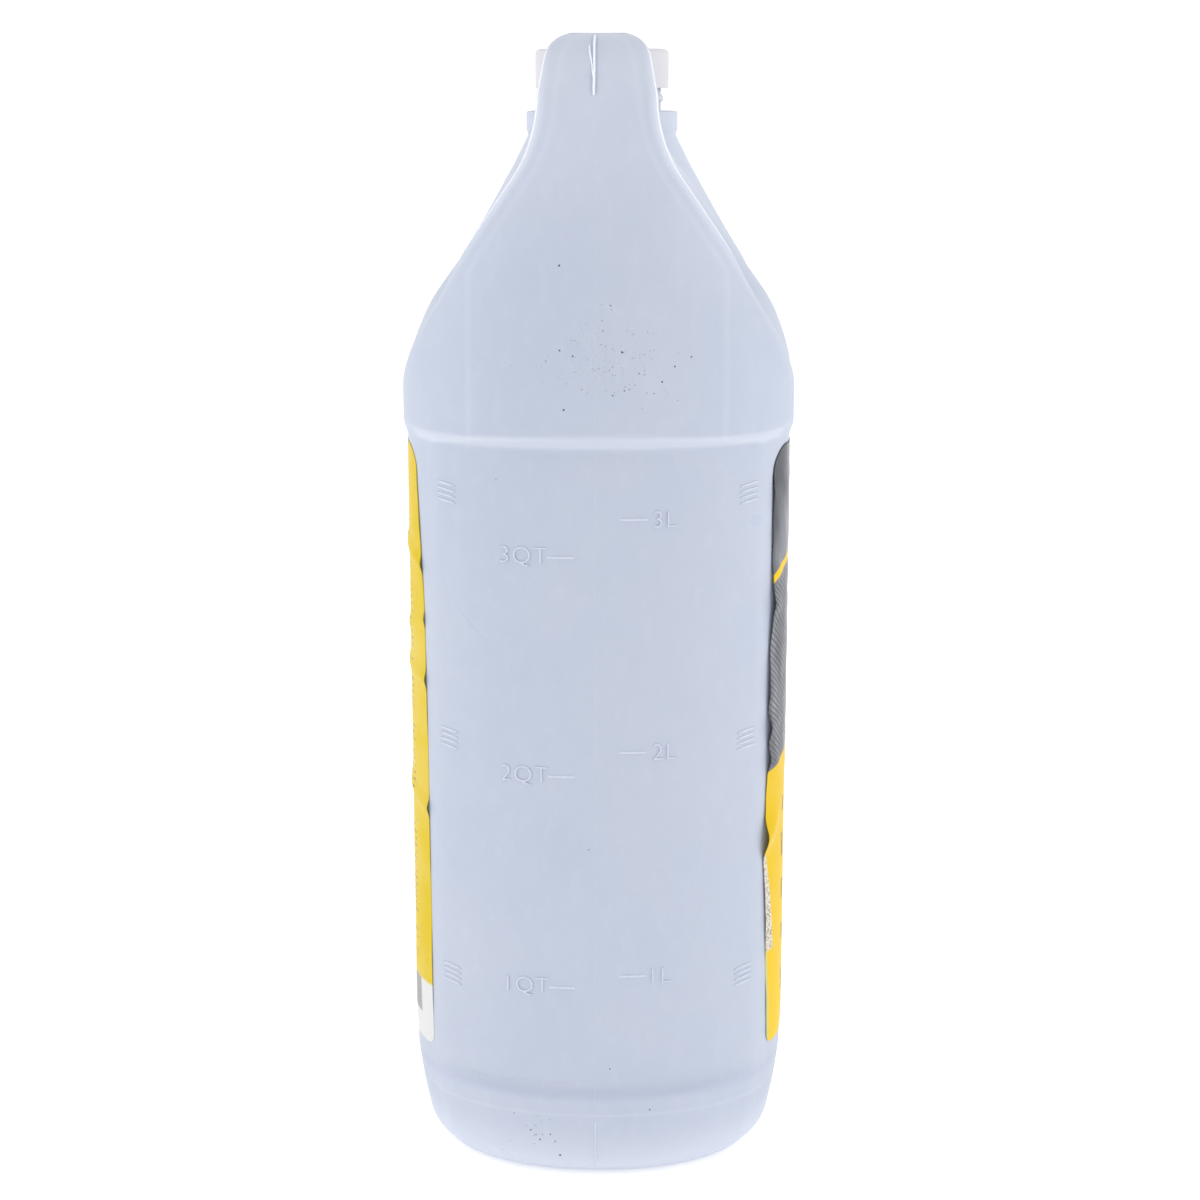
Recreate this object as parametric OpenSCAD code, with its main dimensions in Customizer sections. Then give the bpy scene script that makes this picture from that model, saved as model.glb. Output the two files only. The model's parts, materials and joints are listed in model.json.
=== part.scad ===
// One-gallon oil jug with a hollow side handle, seen here with its handle on the -X side.
// The shell is a loft of plan sections joined to a turned neck; labels and cap are separate.

/* [Body] */
// Width from the handle side to the spout side
jug_w = 178; // [160:1:190]
// Depth from front to back
jug_d = 104.6; // [96:0.2:112]
// Wall of the blown shell
wall = 1; // [0.8:0.1:1.8]
// Length of each rounded end along the width
end_len = 39; // [32:1:44]
// How far the flat sides bow outwards at their middle
side_bow = 0.6; // [0:0.1:2]
// Fullness of the rounded ends, where 2 is an ellipse
end_power = 2.1; // [2:0.05:2.6]

/* [Base] */
// Rounding between the walls and the standing ring
base_r = 12; // [8:0.5:16]
// Width of the flat standing ring
ring_w = 6; // [4:0.5:10]
// Height of the push-up inside the standing ring
push_up = 5; // [2:0.5:8]
// Height at which the end panels step back from the base
base_step_z = 22.4; // [18:0.2:26]

/* [Panels] */
// Depth of the end panels that carry the volume marks
panel_depth = 2.5; // [0.5:0.1:3.5]
// Height of the slope at the top and the bottom of an end panel
panel_slope = 3.3; // [2:0.1:5]
// Depth of the label panels
label_recess = 0.7; // [0.4:0.1:1]
// Height of the label panel's lower edge
label_z = 31.5; // [28:0.5:40]
// Height of the label panel
label_h = 165; // [140:1:180]
// Height from the label panel to the ledge under the shoulder
ledge_gap = 4.9; // [4.4:0.1:10]

/* [Shoulder and handle] */
// Straight wall between the ledge and the shoulder's curve
shoulder_rise = 8; // [4:0.5:12]
// Radius of the shoulder in side view
shoulder_r = 40; // [32:1:48]
// Lean of the shoulder's straight stretch from the vertical
shoulder_lean = 34.6; // [30:0.2:40]
// Radius of the hollow curve from the shoulder into the handle
flare_r = 35; // [25:1:45]
// Half the width of the handle where the hollow curve ends
handle_half = 15.2; // [13:0.1:18]
// Height of the handle above the hollow curve
handle_rise = 15.6; // [12:0.2:20]
// Rounding of the handle's top, seen from its end
handle_top_r = 8; // [5:0.5:10]
// Rounding of the handle's outer corner, seen from the front
handle_corner_r = 30; // [20:1:36]
// Radius of the edges that border the handle's outer face
edge_r = 2.5; // [1.5:0.1:4]
// Thickness of the upright part of the handle
grip_t = 30; // [26:1:34]
// Thickness of the handle above the finger hole
top_bar_t = 26; // [22:1:30]
// Radius of the rounded edge all round the finger hole
hole_edge_r = 20; // [12:1:22]

/* [Neck] */
// Distance of the neck from the middle of the jug
neck_x = 35; // [28:1:40]
// Radius of the flat collar under the neck
collar_r = 22.4; // [21:0.1:24]
// Thickness of the collar
collar_t = 5.7; // [4:0.1:7]
// Outer radius of the neck under its thread
neck_r = 17.4; // [16.8:0.1:18]
// Radius of the neck's bore
bore_r = 15.3; // [14.5:0.1:15.8]
// Height of the neck above the underside of the collar
neck_h = 21.3; // [18:0.1:24]
// How far the bead stands out of the neck
bead_out = 0.7; // [0.4:0.1:1]

/* [Cap] */
// Outer radius of the cap
cap_r = 19.7; // [19.4:0.1:22]
// Height of the cap
cap_h = 11.3; // [10:0.1:14]
// Thickness of the cap's skirt
cap_wall = 0.95; // [0.8:0.05:1.2]
// Thickness of the cap's top
cap_top_t = 1.25; // [1:0.05:2]
// Thickness of the liner that seals on the rim
liner_t = 0.9; // [0.5:0.1:1.5]

/* [Volume marks] */
// Rise of the oil level for each litre
litre_h = 61.8; // [58:0.1:64]
// Height that one litre reaches
first_litre_z = 56.2; // [50:0.2:60]
// Length of a volume mark
mark_len = 7; // [5:0.5:10]
// Width of a raised line
mark_w = 1; // [0.6:0.1:1.4]
// How far the marks stand out
mark_out = 0.45; // [0.3:0.05:0.8]
// Distance of the marks from the parting line
mark_y = 9.4; // [7:0.1:14]
// Ribs in each group beside the volume marks
ribs = 4; // [2:1:5]
// Distance of the ribs from the parting line, as a share of the jug's half depth
rib_share = 0.736; // [0.6:0.01:0.8]

/* [Labels] */
// Thickness of a label
label_t = 0.3; // [0.2:0.05:0.35]
// Rounding of a label's corners
label_corner_r = 10; // [4:1:14]
// Bare margin between a label and the border of its panel
label_margin = 1.5; // [1:0.5:4]

/* [Hidden] */
half_w = jug_w / 2;
half_d = jug_d / 2;
ledge_z = label_z + label_h + ledge_gap;
seat_gap = 0.05;

// Side view of the shoulder: straight wall, round shoulder, lean, hollow curve, handle
shoulder_z = ledge_z + shoulder_rise;
lean_z = shoulder_z + shoulder_r * sin(shoulder_lean);
lean_half = half_d - shoulder_r * (1 - cos(shoulder_lean));
flare_half = handle_half + flare_r * (1 - cos(shoulder_lean));
flare_z = lean_z + (lean_half - flare_half) / tan(shoulder_lean);
handle_z = flare_z + flare_r * sin(shoulder_lean);
jug_top = handle_z + handle_rise;
handle_taper = 0.17;
function arc_drop(r, d) = r - sqrt(max(0, r * r - d * d));
function side_half(z) =
    z < shoulder_z ? half_d
    : z < lean_z ? half_d - arc_drop(shoulder_r, z - shoulder_z)
    : z < flare_z ? lean_half - (z - lean_z) * tan(shoulder_lean)
    : z < handle_z ? handle_half + arc_drop(flare_r, handle_z - z)
    : handle_half - handle_taper * (z - handle_z)
        - arc_drop(handle_top_r, max(0, z - jug_top + handle_top_r));

// Front view: outer face of the handle on the left; on the right the shoulder, and above a
// step that the neck covers the top of the handle
collar_z = flare_z + 9;
step_z = collar_z - 3.6;
crown_x = handle_corner_r + 9 - half_w;
crown_r = 73;
function left_x(z) = arc_drop(handle_corner_r, max(0, z - jug_top + handle_corner_r)) - half_w;
function right_x(z) =
    z < step_z ? neck_x + (half_w - neck_x) * side_half(z) / half_d
    : crown_x + sqrt(max(0, pow(crown_r, 2) - pow(z - jug_top + crown_r, 2)));

// Plan of an end at an angle from its nose: an ellipse low down, a flat face with
// crisp edges on the handle, and a mixture of the two on the shoulder
edge_angle = 67.5;
edge_turn = 7.5;
panel_angle = 60;
label_angle = 60;
function crisp_share(z) =
    let (t = max(0, min(1, (z - ledge_z) / (handle_z - ledge_z))))
    t * t * (3 - 2 * t);
function round_end(a, len, half) =
    [len * (1 - pow(cos(a), 2 / end_power)), half * pow(sin(a), 2 / end_power)];
function crisp_end(a, len, half) =
    a <= edge_angle ? [0, (half - edge_r) * a / edge_angle]
    : a <= edge_angle + edge_turn
        ? let (t = (a - edge_angle) * 90 / edge_turn)
            [edge_r * (1 - cos(t)), half - edge_r * (1 - sin(t))]
    : [edge_r + (len - edge_r) * (a - edge_angle - edge_turn) / (90 - edge_angle - edge_turn), half];
function end_point(a, len, half, crisp) =
    (1 - crisp) * round_end(a, len, half) + crisp * crisp_end(a, len, half);

// How deep the end panel and the label panel lie at an angle
function recess(a, panel, label) =
    panel_depth * max(0, panel - pow(a / panel_angle, 2))
    + (a < label_angle ? 0 : label * label_recess);
function recessed(p, a, panel, label) =
    p + recess(a, panel, label) * [cos(a), -sin(a)];

// Half of a plan section, from the nose at the handle side to the nose at the spout side
fine_angles = [0, 15, 30, 44, 56, 60, 61.5, 64, 67.5, 71.25, 75, 90];
plain_angles = [0, 25, 45, 60, 75, 90];
function back_to_front(list) = [for (i = [len(list) - 1:-1:0]) list[i]];
function half_section(z, inset, panel, label, angles, sides) =
    let (
        x0 = left_x(z) + inset,
        x1 = right_x(z) - inset,
        half = side_half(z) - inset,
        near = min(end_len, 0.45 * (x1 - x0)),
        far = min(end_len * half / half_d, 0.45 * (x1 - x0)),
        crisp = crisp_share(z),
        bow = side_bow * min(1, (x1 - x0) / jug_w)
    )
    concat(
        [for (a = angles)
            [x0, 0] + recessed(end_point(a, near, half, crisp), a, panel, label)],
        [for (i = [1:sides - 1])
            let (t = i / sides)
            [x0 + near + t * (x1 - x0 - near - far),
                half + bow * 4 * t * (1 - t) - label * label_recess]],
        [for (a = back_to_front(angles))
            let (p = recessed(end_point(a, far, half, 0), a, panel, label))
            [x1 - p[0], p[1]]]
    );
function whole_section(half) =
    concat(half, [for (i = [len(half) - 2:-1:1]) [half[i][0], -half[i][1]]]);

// Closed skin over rings that all have the same number of points
module skin(rings) {
    n = len(rings[0]);
    last = len(rings) - 1;
    polyhedron(
        points = [for (r = rings) each r],
        faces = concat(
            [[for (i = [n - 1:-1:0]) i]],
            [[for (i = [0:n - 1]) last * n + i]],
            [for (k = [0:last - 1], i = [0:n - 1])
                let (j = (i + 1) % n)
                each [[k * n + i, (k + 1) * n + j, (k + 1) * n + i],
                    [k * n + i, k * n + j, (k + 1) * n + j]]]
        ),
        convexity = 8
    );
}

// Levels of the skin: height, inset, share of the end panel, share of the label panel
dome_in = 14;
base_turns = [90, 65, 40, 20, 0];
base_levels = concat(
    [[push_up, base_r + ring_w + dome_in, 0, 0],
        [push_up * 0.6, base_r + ring_w + dome_in / 3, 0, 0],
        [0, base_r + ring_w, 0, 0]],
    [for (a = base_turns) [base_r * (1 - sin(a)), base_r * (1 - cos(a)), 0, 0]]
);
label_top = label_z + label_h;
wall_levels = [
    [base_step_z - panel_slope / 2, 0, 0, 0],
    [base_step_z, 0, 0.5, 0],
    [base_step_z + panel_slope / 2, 0, 1, 0],
    [label_z, 0, 1, 0],
    [label_z + label_margin, 0, 1, 1],
    [label_top - label_margin, 0, 1, 1],
    [label_top, 0, 1, 0],
    [ledge_z - panel_slope, 0, 1, 0],
    [ledge_z - panel_slope / 2, 0, 0.5, 0],
];
step_half = 1;
function turn_levels(z0, z1, steps) = [for (i = [0:steps - 1]) z0 + (z1 - z0) * i / steps];
shoulder_heights = concat(
    [ledge_z],
    turn_levels(shoulder_z, lean_z, 5),
    turn_levels(lean_z, flare_z, 3),
    turn_levels(flare_z, step_z - step_half, 1),
    turn_levels(step_z - step_half, step_z + step_half, 1),
    turn_levels(step_z + step_half, handle_z, 2),
    turn_levels(handle_z, jug_top - handle_top_r, 1),
    [for (a = [0, 25, 45, 65, 90]) jug_top - handle_top_r * (1 - sin(a))]
);
fine_levels = concat(base_levels, wall_levels, [for (z = shoulder_heights) [z, 0, 0, 0]]);

// The hollow follows the same outline, one wall further in and one wall lower on the shoulder
hollow_base = concat(
    [[push_up + wall, base_r + ring_w + dome_in - wall],
        [push_up * 0.6 + wall, base_r + ring_w + dome_in / 3 - wall],
        [wall, base_r + ring_w - wall]],
    [for (a = [90, 60, 30, 0]) [base_r * (1 - sin(a)) + wall, base_r * (1 - cos(a)) + wall]]
);
hollow_walls = [
    [base_step_z - panel_slope, 0, 0],
    [base_step_z, 1, 0],
    [label_z - label_margin, 1, 0],
    [label_z, 1, 1],
    [label_top, 1, 1],
    [label_top + label_margin, 1, 0],
    [ledge_z - panel_slope, 1, 0],
    [ledge_z + wall, 0, 0],
];
hollow_shoulder = concat(
    turn_levels(shoulder_z, lean_z, 4),
    turn_levels(lean_z, flare_z, 3),
    [flare_z, step_z - step_half, step_z + step_half],
    turn_levels((step_z + handle_z) / 2, jug_top - handle_top_r, 3),
    [for (a = [0, 35, 62, 80]) jug_top - handle_top_r * (1 - sin(a))]
);

module outer_body() {
    skin([for (l = fine_levels)
        [for (p = whole_section(half_section(l[0] < base_r ? base_r : l[0], l[1], l[2], l[3], fine_angles, 5)))
            [p[0], p[1], l[0]]]]);
}

module inner_body() {
    skin(concat(
        [for (l = hollow_base)
            [for (p = whole_section(half_section(base_r, l[1], 0, 0, plain_angles, 3)))
                [p[0], p[1], l[0]]]],
        [for (l = hollow_walls)
            [for (p = whole_section(half_section(min(l[0], ledge_z), wall, l[1], l[2], plain_angles, 3)))
                [p[0], p[1], l[0]]]],
        [for (z = hollow_shoulder)
            [for (p = whole_section(half_section(z, wall, 0, 0, plain_angles, 3)))
                [p[0], p[1], z - wall]]]
    ));
}

// The finger hole: an outline round three circles, flared to the front and to the back
hole_top_r = 14;
hole_front_r = 10;
hole_low_r = 13;
hole_front_in = 49;
hole_front_drop = 28;
hole_low_rise = 10;
hole_circles = [
    [[grip_t + hole_top_r - half_w, jug_top - top_bar_t - hole_top_r], hole_top_r],
    [[neck_x - hole_front_in, jug_top - top_bar_t - hole_front_drop], hole_front_r],
    [[grip_t + hole_low_r - half_w, lean_z + hole_low_rise], hole_low_r],
];
hole_sides = 22;
last_turn = 80;
past_turn = 120;
hole_reach = 2;
lip_out = 6;
lip_core = 8;
least_lip_r = 7;
flare_turns = [0, 25, 45, 65, last_turn];
function reach(c, n) = c[0] * n + c[1];
function furthest(n) =
    let (best = max([for (c = hole_circles) reach(c, n)]))
    [for (c = hole_circles) if (reach(c, n) > best - 0.0001) c][0];
function hole_ring(side, turn, grow) =
    [for (i = [0:hole_sides - 1])
        let (
            n = [cos(360 * i / hole_sides), sin(360 * i / hole_sides)],
            c = furthest(n),
            base = c[0] + c[1] * n,
            r = max(least_lip_r, min(hole_edge_r, side_half(base[1]) - lip_core)),
            lip = side_half(base[1] + r * n[1]),
            flare = turn > 90 ? r + hole_reach : r - (r - grow) * cos(turn),
            y = turn > 90 ? lip + lip_out : lip - r + (r - grow) * sin(turn),
            p = c[0] + (c[1] + flare) * n
        )
        [p[0], side * y, p[1]]];

module finger_hole(grow) {
    skin(concat(
        [hole_ring(-1, past_turn, grow)],
        [for (a = back_to_front(flare_turns)) hole_ring(-1, a, grow)],
        [for (a = flare_turns) hole_ring(1, a, grow)],
        [hole_ring(1, past_turn, grow)]
    ));
}

// The turned neck: a bell that rises out of the shoulder, a flat collar and the threaded neck
bell_rise = 12;
bell_foot = 6;
bell_top_h = 8;
bell_flare = 3.2;
cap_rise = 12.2;
bell_slope = 0.51;
bell_z = shoulder_z + bell_rise;
bell_bottom_r = collar_r - 0.2 + bell_slope * (collar_z - bell_z);
rim_z = collar_z + neck_h;
cap_z = collar_z + cap_rise;
module turned(outline) {
    translate([neck_x, 0, 0]) rotate_extrude($fn = 72) polygon(outline);
}

module neck_outside() {
    turned([
        [0, bell_z - bell_foot],
        [bell_bottom_r - bell_foot, bell_z - bell_foot],
        [bell_bottom_r, bell_z],
        [collar_r + bell_flare, collar_z - bell_top_h],
        [collar_r - 0.2, collar_z - 1.5],
        [collar_r, collar_z],
        [collar_r, collar_z + collar_t],
        [neck_r, collar_z + collar_t],
        [neck_r, cap_z - 4],
        [neck_r + bead_out, cap_z - 3.4],
        [neck_r + bead_out, cap_z - 2.2],
        [neck_r, cap_z - 1.6],
        [neck_r, rim_z - 0.6],
        [neck_r - 0.6, rim_z],
        [0, rim_z],
    ]);
}

module neck_inside() {
    turned([
        [0, bell_z - bell_top_h],
        [bell_bottom_r - wall - 2, bell_z - 4],
        [collar_r + bell_flare - wall, collar_z - bell_top_h - wall],
        [bore_r + 2, collar_z],
        [bore_r, collar_z + 3],
        [bore_r, rim_z + 1],
        [0, rim_z + 1],
    ]);
}

// Raised lines on the end panel, each a bar with round ends that follows the surface
function panel_x(y) =
    let (s = pow(min(1, abs(y) / half_d), end_power))
    end_len * (1 - pow(1 - s, 1 / end_power)) - half_w
    + panel_depth * (1 - pow(asin(min(1, abs(y) / half_d)) / panel_angle, 2));
module raised_line(y, z, length) {
    hull() {
        for (e = [-0.5, 0.5])
            translate([panel_x(y + e * length), y + e * length, z])
                rotate([0, 90, 0])
                    cylinder(d = mark_w, h = 2 * mark_out, center = true, $fn = 6);
    }
}
module rib(y, z, length) {
    lean = atan((panel_x(y + 1) - panel_x(y - 1)) / 2);
    translate([panel_x(y), y, z])
        rotate([0, 0, -lean])
            cube([2 * mark_out, length, mark_w * 0.7], center = true);
}

quart = 0.9464;
rib_y = rib_share * half_d;
rib_len = 4;
rib_pitch = 1.5;
rib_drop = 4;
module volume_marks() {
    for (n = [1:3]) {
        raised_line(-mark_y, first_litre_z + (n - 1) * litre_h, mark_len - mark_w);
        raised_line(mark_y, first_litre_z + (n * quart - 1) * litre_h, mark_len - mark_w);
    }
}
module rib_groups() {
    for (n = [1:3], side = [-1, 1], i = [0:ribs - 1])
        rib(side * rib_y, first_litre_z + (n - 1) * litre_h * 1.06 - rib_drop + i * rib_pitch, rib_len);
}

// Trimmed flash where the mould pinched the plastic, on the handle and on both ends of the base
flash_t = 1.2;
flash_r = 0.7;
module flash_ridge(from, to) {
    hull() {
        for (p = [from, to])
            translate([p[0], 0, p[1]])
                rotate([90, 0, 0])
                    cylinder(r = flash_r, h = flash_t, center = true, $fn = 8);
    }
}
handle_flash_h = 14;
base_flash_h = 16;
module handle_flash() {
    heights = [for (i = [0:4]) jug_top - handle_flash_h * (1 - 0.22 * i)];
    for (i = [0:3])
        flash_ridge([left_x(heights[i]), heights[i]], [left_x(heights[i + 1]), heights[i + 1]]);
}
module base_flash() {
    turns = [80, 55, 30, 0];
    bends = [for (a = turns) [base_r * (1 - cos(a)) - half_w, base_r * (1 - sin(a)) + flash_r * sin(a)]];
    path = concat(bends, [[-half_w, base_flash_h]]);
    for (i = [0:len(path) - 2])
        flash_ridge(path[i], path[i + 1]);
}
module flash() {
    handle_flash();
    base_flash();
    mirror([1, 0, 0]) base_flash();
}

module bottle() {
    color([0.76, 0.79, 0.86])
        difference() {
            union() {
                difference() {
                    union() {
                        outer_body();
                        neck_outside();
                    }
                    finger_hole(0);
                }
                volume_marks();
                rib_groups();
                flash();
            }
            difference() {
                union() {
                    inner_body();
                    neck_inside();
                }
                finger_hole(wall);
            }
        }
}

// The cap closes on the rim through its liner
module cap() {
    cap_top = rim_z + seat_gap + liner_t + seat_gap + cap_top_t;
    color([0.86, 0.86, 0.88])
        translate([neck_x, 0, 0])
            rotate_extrude($fn = 96)
                polygon([
                    [0, cap_top - cap_top_t],
                    [cap_r - cap_wall, cap_top - cap_top_t],
                    [cap_r - cap_wall, cap_top - cap_h],
                    [cap_r, cap_top - cap_h],
                    [cap_r, cap_top - 1],
                    [cap_r - 0.3, cap_top - 0.3],
                    [cap_r - 1, cap_top],
                    [0, cap_top],
                ]);
}

module cap_liner() {
    color([0.93, 0.93, 0.9])
        translate([neck_x, 0, rim_z + seat_gap])
            cylinder(r = cap_r - cap_wall - 0.2, h = liner_t, $fn = 96);
}

// A label lies in its panel as a thin shell on the same plan section
label_points = [for (i = [0:len(fine_angles) - 1]) if (fine_angles[i] >= label_angle) i];
module label(side) {
    plan = half_section(label_z + label_h / 2, 0, 0, 1, fine_angles, 5);
    first = label_points[0];
    strip = [for (i = [first:len(plan) - 1 - first]) plan[i]];
    run = [for (i = [0:len(strip) - 1]) i == 0 ? 0 : norm(strip[i] - strip[i - 1])];
    along = [for (i = 0, s = 0; i < len(strip); i = i + 1, s = s + (i < len(strip) ? run[i] : 0)) s];
    full = along[len(strip) - 1];
    low = label_z + label_margin + 0.3;
    high = label_top - label_margin - 0.3;
    rings = [for (i = [0:len(strip) - 1])
        let (
            d = min(along[i], full - along[i]),
            cut = arc_drop(label_corner_r, max(0, label_corner_r - d)),
            before = strip[max(0, i - 1)],
            after = strip[min(len(strip) - 1, i + 1)],
            dir = (after - before) / norm(after - before),
            out = [-dir[1], dir[0]],
            p = strip[i] + seat_gap * out,
            q = strip[i] + (seat_gap + label_t) * out
        )
        [
            [p[0], side * p[1], low + cut],
            [q[0], side * q[1], low + cut],
            [q[0], side * q[1], high - cut],
            [p[0], side * p[1], high - cut],
        ]];
    skin(side < 0 ? rings : back_to_front(rings));
}
module front_label() {
    color([0.93, 0.75, 0.12]) label(-1);
}
module back_label() {
    color([0.95, 0.85, 0.35]) label(1);
}

bottle();
cap();
cap_liner();
front_label();
back_label();
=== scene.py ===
"""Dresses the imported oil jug: moulded shell, neck, cap, labels, marks and a plain white studio."""

import json
import math

import bmesh
import bpy
import numpy as np
from mathutils import Matrix, Vector

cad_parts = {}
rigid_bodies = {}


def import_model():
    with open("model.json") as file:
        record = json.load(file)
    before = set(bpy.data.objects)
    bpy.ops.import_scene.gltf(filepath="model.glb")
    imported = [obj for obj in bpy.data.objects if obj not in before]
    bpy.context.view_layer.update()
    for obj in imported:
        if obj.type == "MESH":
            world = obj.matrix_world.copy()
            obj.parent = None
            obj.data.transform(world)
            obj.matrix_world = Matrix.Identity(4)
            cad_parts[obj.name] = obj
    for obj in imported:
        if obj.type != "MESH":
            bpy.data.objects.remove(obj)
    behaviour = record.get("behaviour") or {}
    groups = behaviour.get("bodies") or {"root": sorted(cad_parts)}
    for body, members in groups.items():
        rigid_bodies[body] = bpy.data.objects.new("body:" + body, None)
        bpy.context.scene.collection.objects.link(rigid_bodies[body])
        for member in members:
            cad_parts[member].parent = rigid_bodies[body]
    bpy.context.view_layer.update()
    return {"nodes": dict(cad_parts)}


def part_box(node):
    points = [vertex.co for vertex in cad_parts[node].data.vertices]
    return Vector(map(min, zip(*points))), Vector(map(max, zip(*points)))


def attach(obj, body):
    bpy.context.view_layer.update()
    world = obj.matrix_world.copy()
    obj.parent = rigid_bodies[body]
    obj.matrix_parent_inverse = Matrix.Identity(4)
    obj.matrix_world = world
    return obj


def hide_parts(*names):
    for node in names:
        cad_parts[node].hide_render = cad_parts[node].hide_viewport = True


bl_info = {
    "name": "Oil jug builder",
    "version": (1, 0, 0),
    "blender": (4, 5, 0),
    "location": "View3D > Sidebar > Oil jug",
    "description": "Builds a one-gallon oil jug with a hollow handle, screw cap and film labels",
    "category": "Object",
}

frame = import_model()
cap_low, cap_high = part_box("cap")
MM = 0.001
LITRES_PER_QUART = 0.9464
# White of the painted highlight line along the crisp edge of the handle's outer face.
EDGE_HIGHLIGHT_WHITE = (0.92, 0.94, 0.97)
PRINT_BLACK = (0.05, 0.055, 0.07)

# The jug's form and the materials, made once and shared by the operators.
_kept = {}


def length(name, description, default, low=0.0, high=1.0):
    return bpy.props.FloatProperty(
        name=name, description=description, default=default, min=low, max=high, unit="LENGTH", precision=5
    )


def colour(name, description, default):
    return bpy.props.FloatVectorProperty(
        name=name, description=description, default=default, min=0.0, max=1.0, size=3, subtype="COLOR"
    )


def number(name, description, default, low=0.0, high=10.0):
    return bpy.props.FloatProperty(name=name, description=description, default=default, min=low, max=high)


class JugSizes(bpy.types.PropertyGroup):
    width: length("Width", "From the handle side to the spout side", 0.178)
    depth: length("Depth", "From the front panel to the back panel", 0.1046)
    ledge_height: length("Ledge height", "Height of the ledge under the shoulder", 0.2014)
    end_length: length("End length", "Length of each rounded end", 0.039)
    panel_depth: length("Panel depth", "Depth of the end panels", 0.0025)
    label_recess: length("Label recess", "Depth of the label panels", 0.00115)
    edge_radius: length("Edge radius", "Radius of the edges round the handle's outer face", 0.0021)
    lip_radius: length("Lip radius", "Largest rounding round the finger hole", 0.020)
    blend_radius: length("Blend radius", "Softness where the neck grows out of the shoulder", 0.0045)
    wall: length("Wall", "Thickness of the blown wall", 0.0016)
    flash_out: length("Flash", "How far the trimmed flash stands out", 0.0007)


class NeckSizes(bpy.types.PropertyGroup):
    place: length("Place", "Distance of the neck from the middle of the jug", 0.035)
    collar_radius: length("Collar radius", "Radius of the collar under the neck", 0.0224)
    collar_height: length("Collar height", "Thickness of the collar", 0.0057)
    radius: length("Neck radius", "Outer radius of the neck under its thread", 0.0174)
    bore_radius: length("Bore radius", "Radius of the neck's bore", 0.0153)
    height: length("Neck height", "Height of the neck above the underside of the collar", 0.0213)
    pitch: length("Pitch", "Rise of the thread in a turn", 0.004233)
    thread_out: length("Thread depth", "How far the thread stands out", 0.0011)


class MarkSizes(bpy.types.PropertyGroup):
    litre: length("Litre", "Rise of the level for each litre", 0.0618)
    first_litre: length("First litre", "Height that one litre reaches", 0.0566)
    dash: length("Dash", "Length of a volume mark", 0.007)
    line: length("Line", "Width of a raised line", 0.00065)
    stand_out: length("Stand out", "How far the marks stand out", 0.00034)
    letter: length("Letter height", "Height of the figures beside the marks", 0.0046)
    rib: length("Rib", "Length of a small rib", 0.0056)
    rib_pitch: length("Rib pitch", "Distance between two small ribs", 0.0015)
    ribs: bpy.props.IntProperty(name="Ribs", description="Ribs in a group", default=4, min=2, max=6)


class CapSizes(bpy.types.PropertyGroup):
    wall: length("Wall", "Thickness of the cap's skirt", 0.00095)
    top: length("Top", "Thickness of the cap's top", 0.00125)
    corner: length("Corner", "Rounding of the cap's upper corner", 0.0016)


class LabelSizes(bpy.types.PropertyGroup):
    thickness: length("Thickness", "Thickness of the film", 0.00016)
    corner: length("Corner", "Rounding of the corners", 0.008)
    lift: length("Lift", "How far the wrinkled edge lifts", 0.0016)


class JugColours(bpy.types.PropertyGroup):
    plastic: colour("Plastic", "Blown plastic", (0.488, 0.532, 0.628))
    # Pale plastic for random mottle, worn marks and the parting line, and also the painted highlight on the handle
    # face's edges, the ledge and the lower rim, and painted light on the upper handle.
    plastic_highlight_and_pale: colour("Plastic, light", "Edges and thin places", (0.622, 0.655, 0.742))
    plastic_deep: colour("Plastic, deep", "Clouds in the plastic", (0.460, 0.508, 0.612))
    cap: colour("Cap", "Screw cap", (0.60, 0.59, 0.625))
    liner: colour("Liner", "Foam liner", (0.86, 0.85, 0.80))
    dirt: colour("Dirt", "Specks and smudges", (0.20, 0.15, 0.11))
    yellow: colour("Yellow", "Yellow print", (0.80, 0.53, 0.008))
    grey: colour("Grey", "Dark metallic print", (0.15, 0.155, 0.17))
    brown: colour("Brown", "Brown print", (0.16, 0.09, 0.04))
    white: colour("White", "White print", (0.86, 0.86, 0.86))


class StageSizes(bpy.types.PropertyGroup):
    floor: colour("Floor", "Colour of the floor", (0.92, 0.92, 0.93))
    glow: number("Glow", "How much the floor glows", 0.34)
    sweep: number("Sweep", "Brightness of the backdrop", 1.22)
    world: number("World", "Strength of the even light from all sides", 0.62)
    side: number("Side lights", "Power of each side light in watts", 4.5, 0, 500)
    top: number("Top light", "Power of the light above in watts", 2.2, 0, 500)
    lens: bpy.props.FloatProperty(name="Lens", description="Focal length", default=72.9, unit="CAMERA")
    camera: bpy.props.FloatVectorProperty(
        name="Camera", description="Place of the camera", default=(-0.6985, -0.0075, 0.2905), subtype="TRANSLATION"
    )
    pitch: bpy.props.FloatProperty(
        name="Pitch", description="Downward tilt", default=math.radians(12.1), subtype="ANGLE"
    )
    yaw: bpy.props.FloatProperty(
        name="Yaw", description="Turn to the left", default=math.radians(0.632), subtype="ANGLE"
    )
    roll: bpy.props.FloatProperty(name="Roll", description="Roll", default=0.0, subtype="ANGLE")


def arc_drop(radius, distance):
    """How far a round edge of this radius has fallen at a distance from where it starts."""
    return radius - np.sqrt(np.maximum(0.0, radius**2 - distance**2))


def ease(t):
    """Smooth rise from 0 to 1 while t goes from 0 to 1."""
    t = np.clip(t, 0.0, 1.0)
    return t * t * (3 - 2 * t)


def blend_union(a, b, k):
    """Field of what lies in either form, with the crease between them filled over k."""
    h = np.maximum(k - np.abs(a - b), 0.0) / k
    return np.minimum(a, b) - h * h * k / 4


def round_both(a, b, r):
    """Field of what lies in both forms, with its edge rounded to radius r."""
    u, v = np.maximum(r + a, 0.0), np.maximum(r + b, 0.0)
    return np.minimum(-r, np.maximum(a, b)) + np.sqrt(u * u + v * v)


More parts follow.
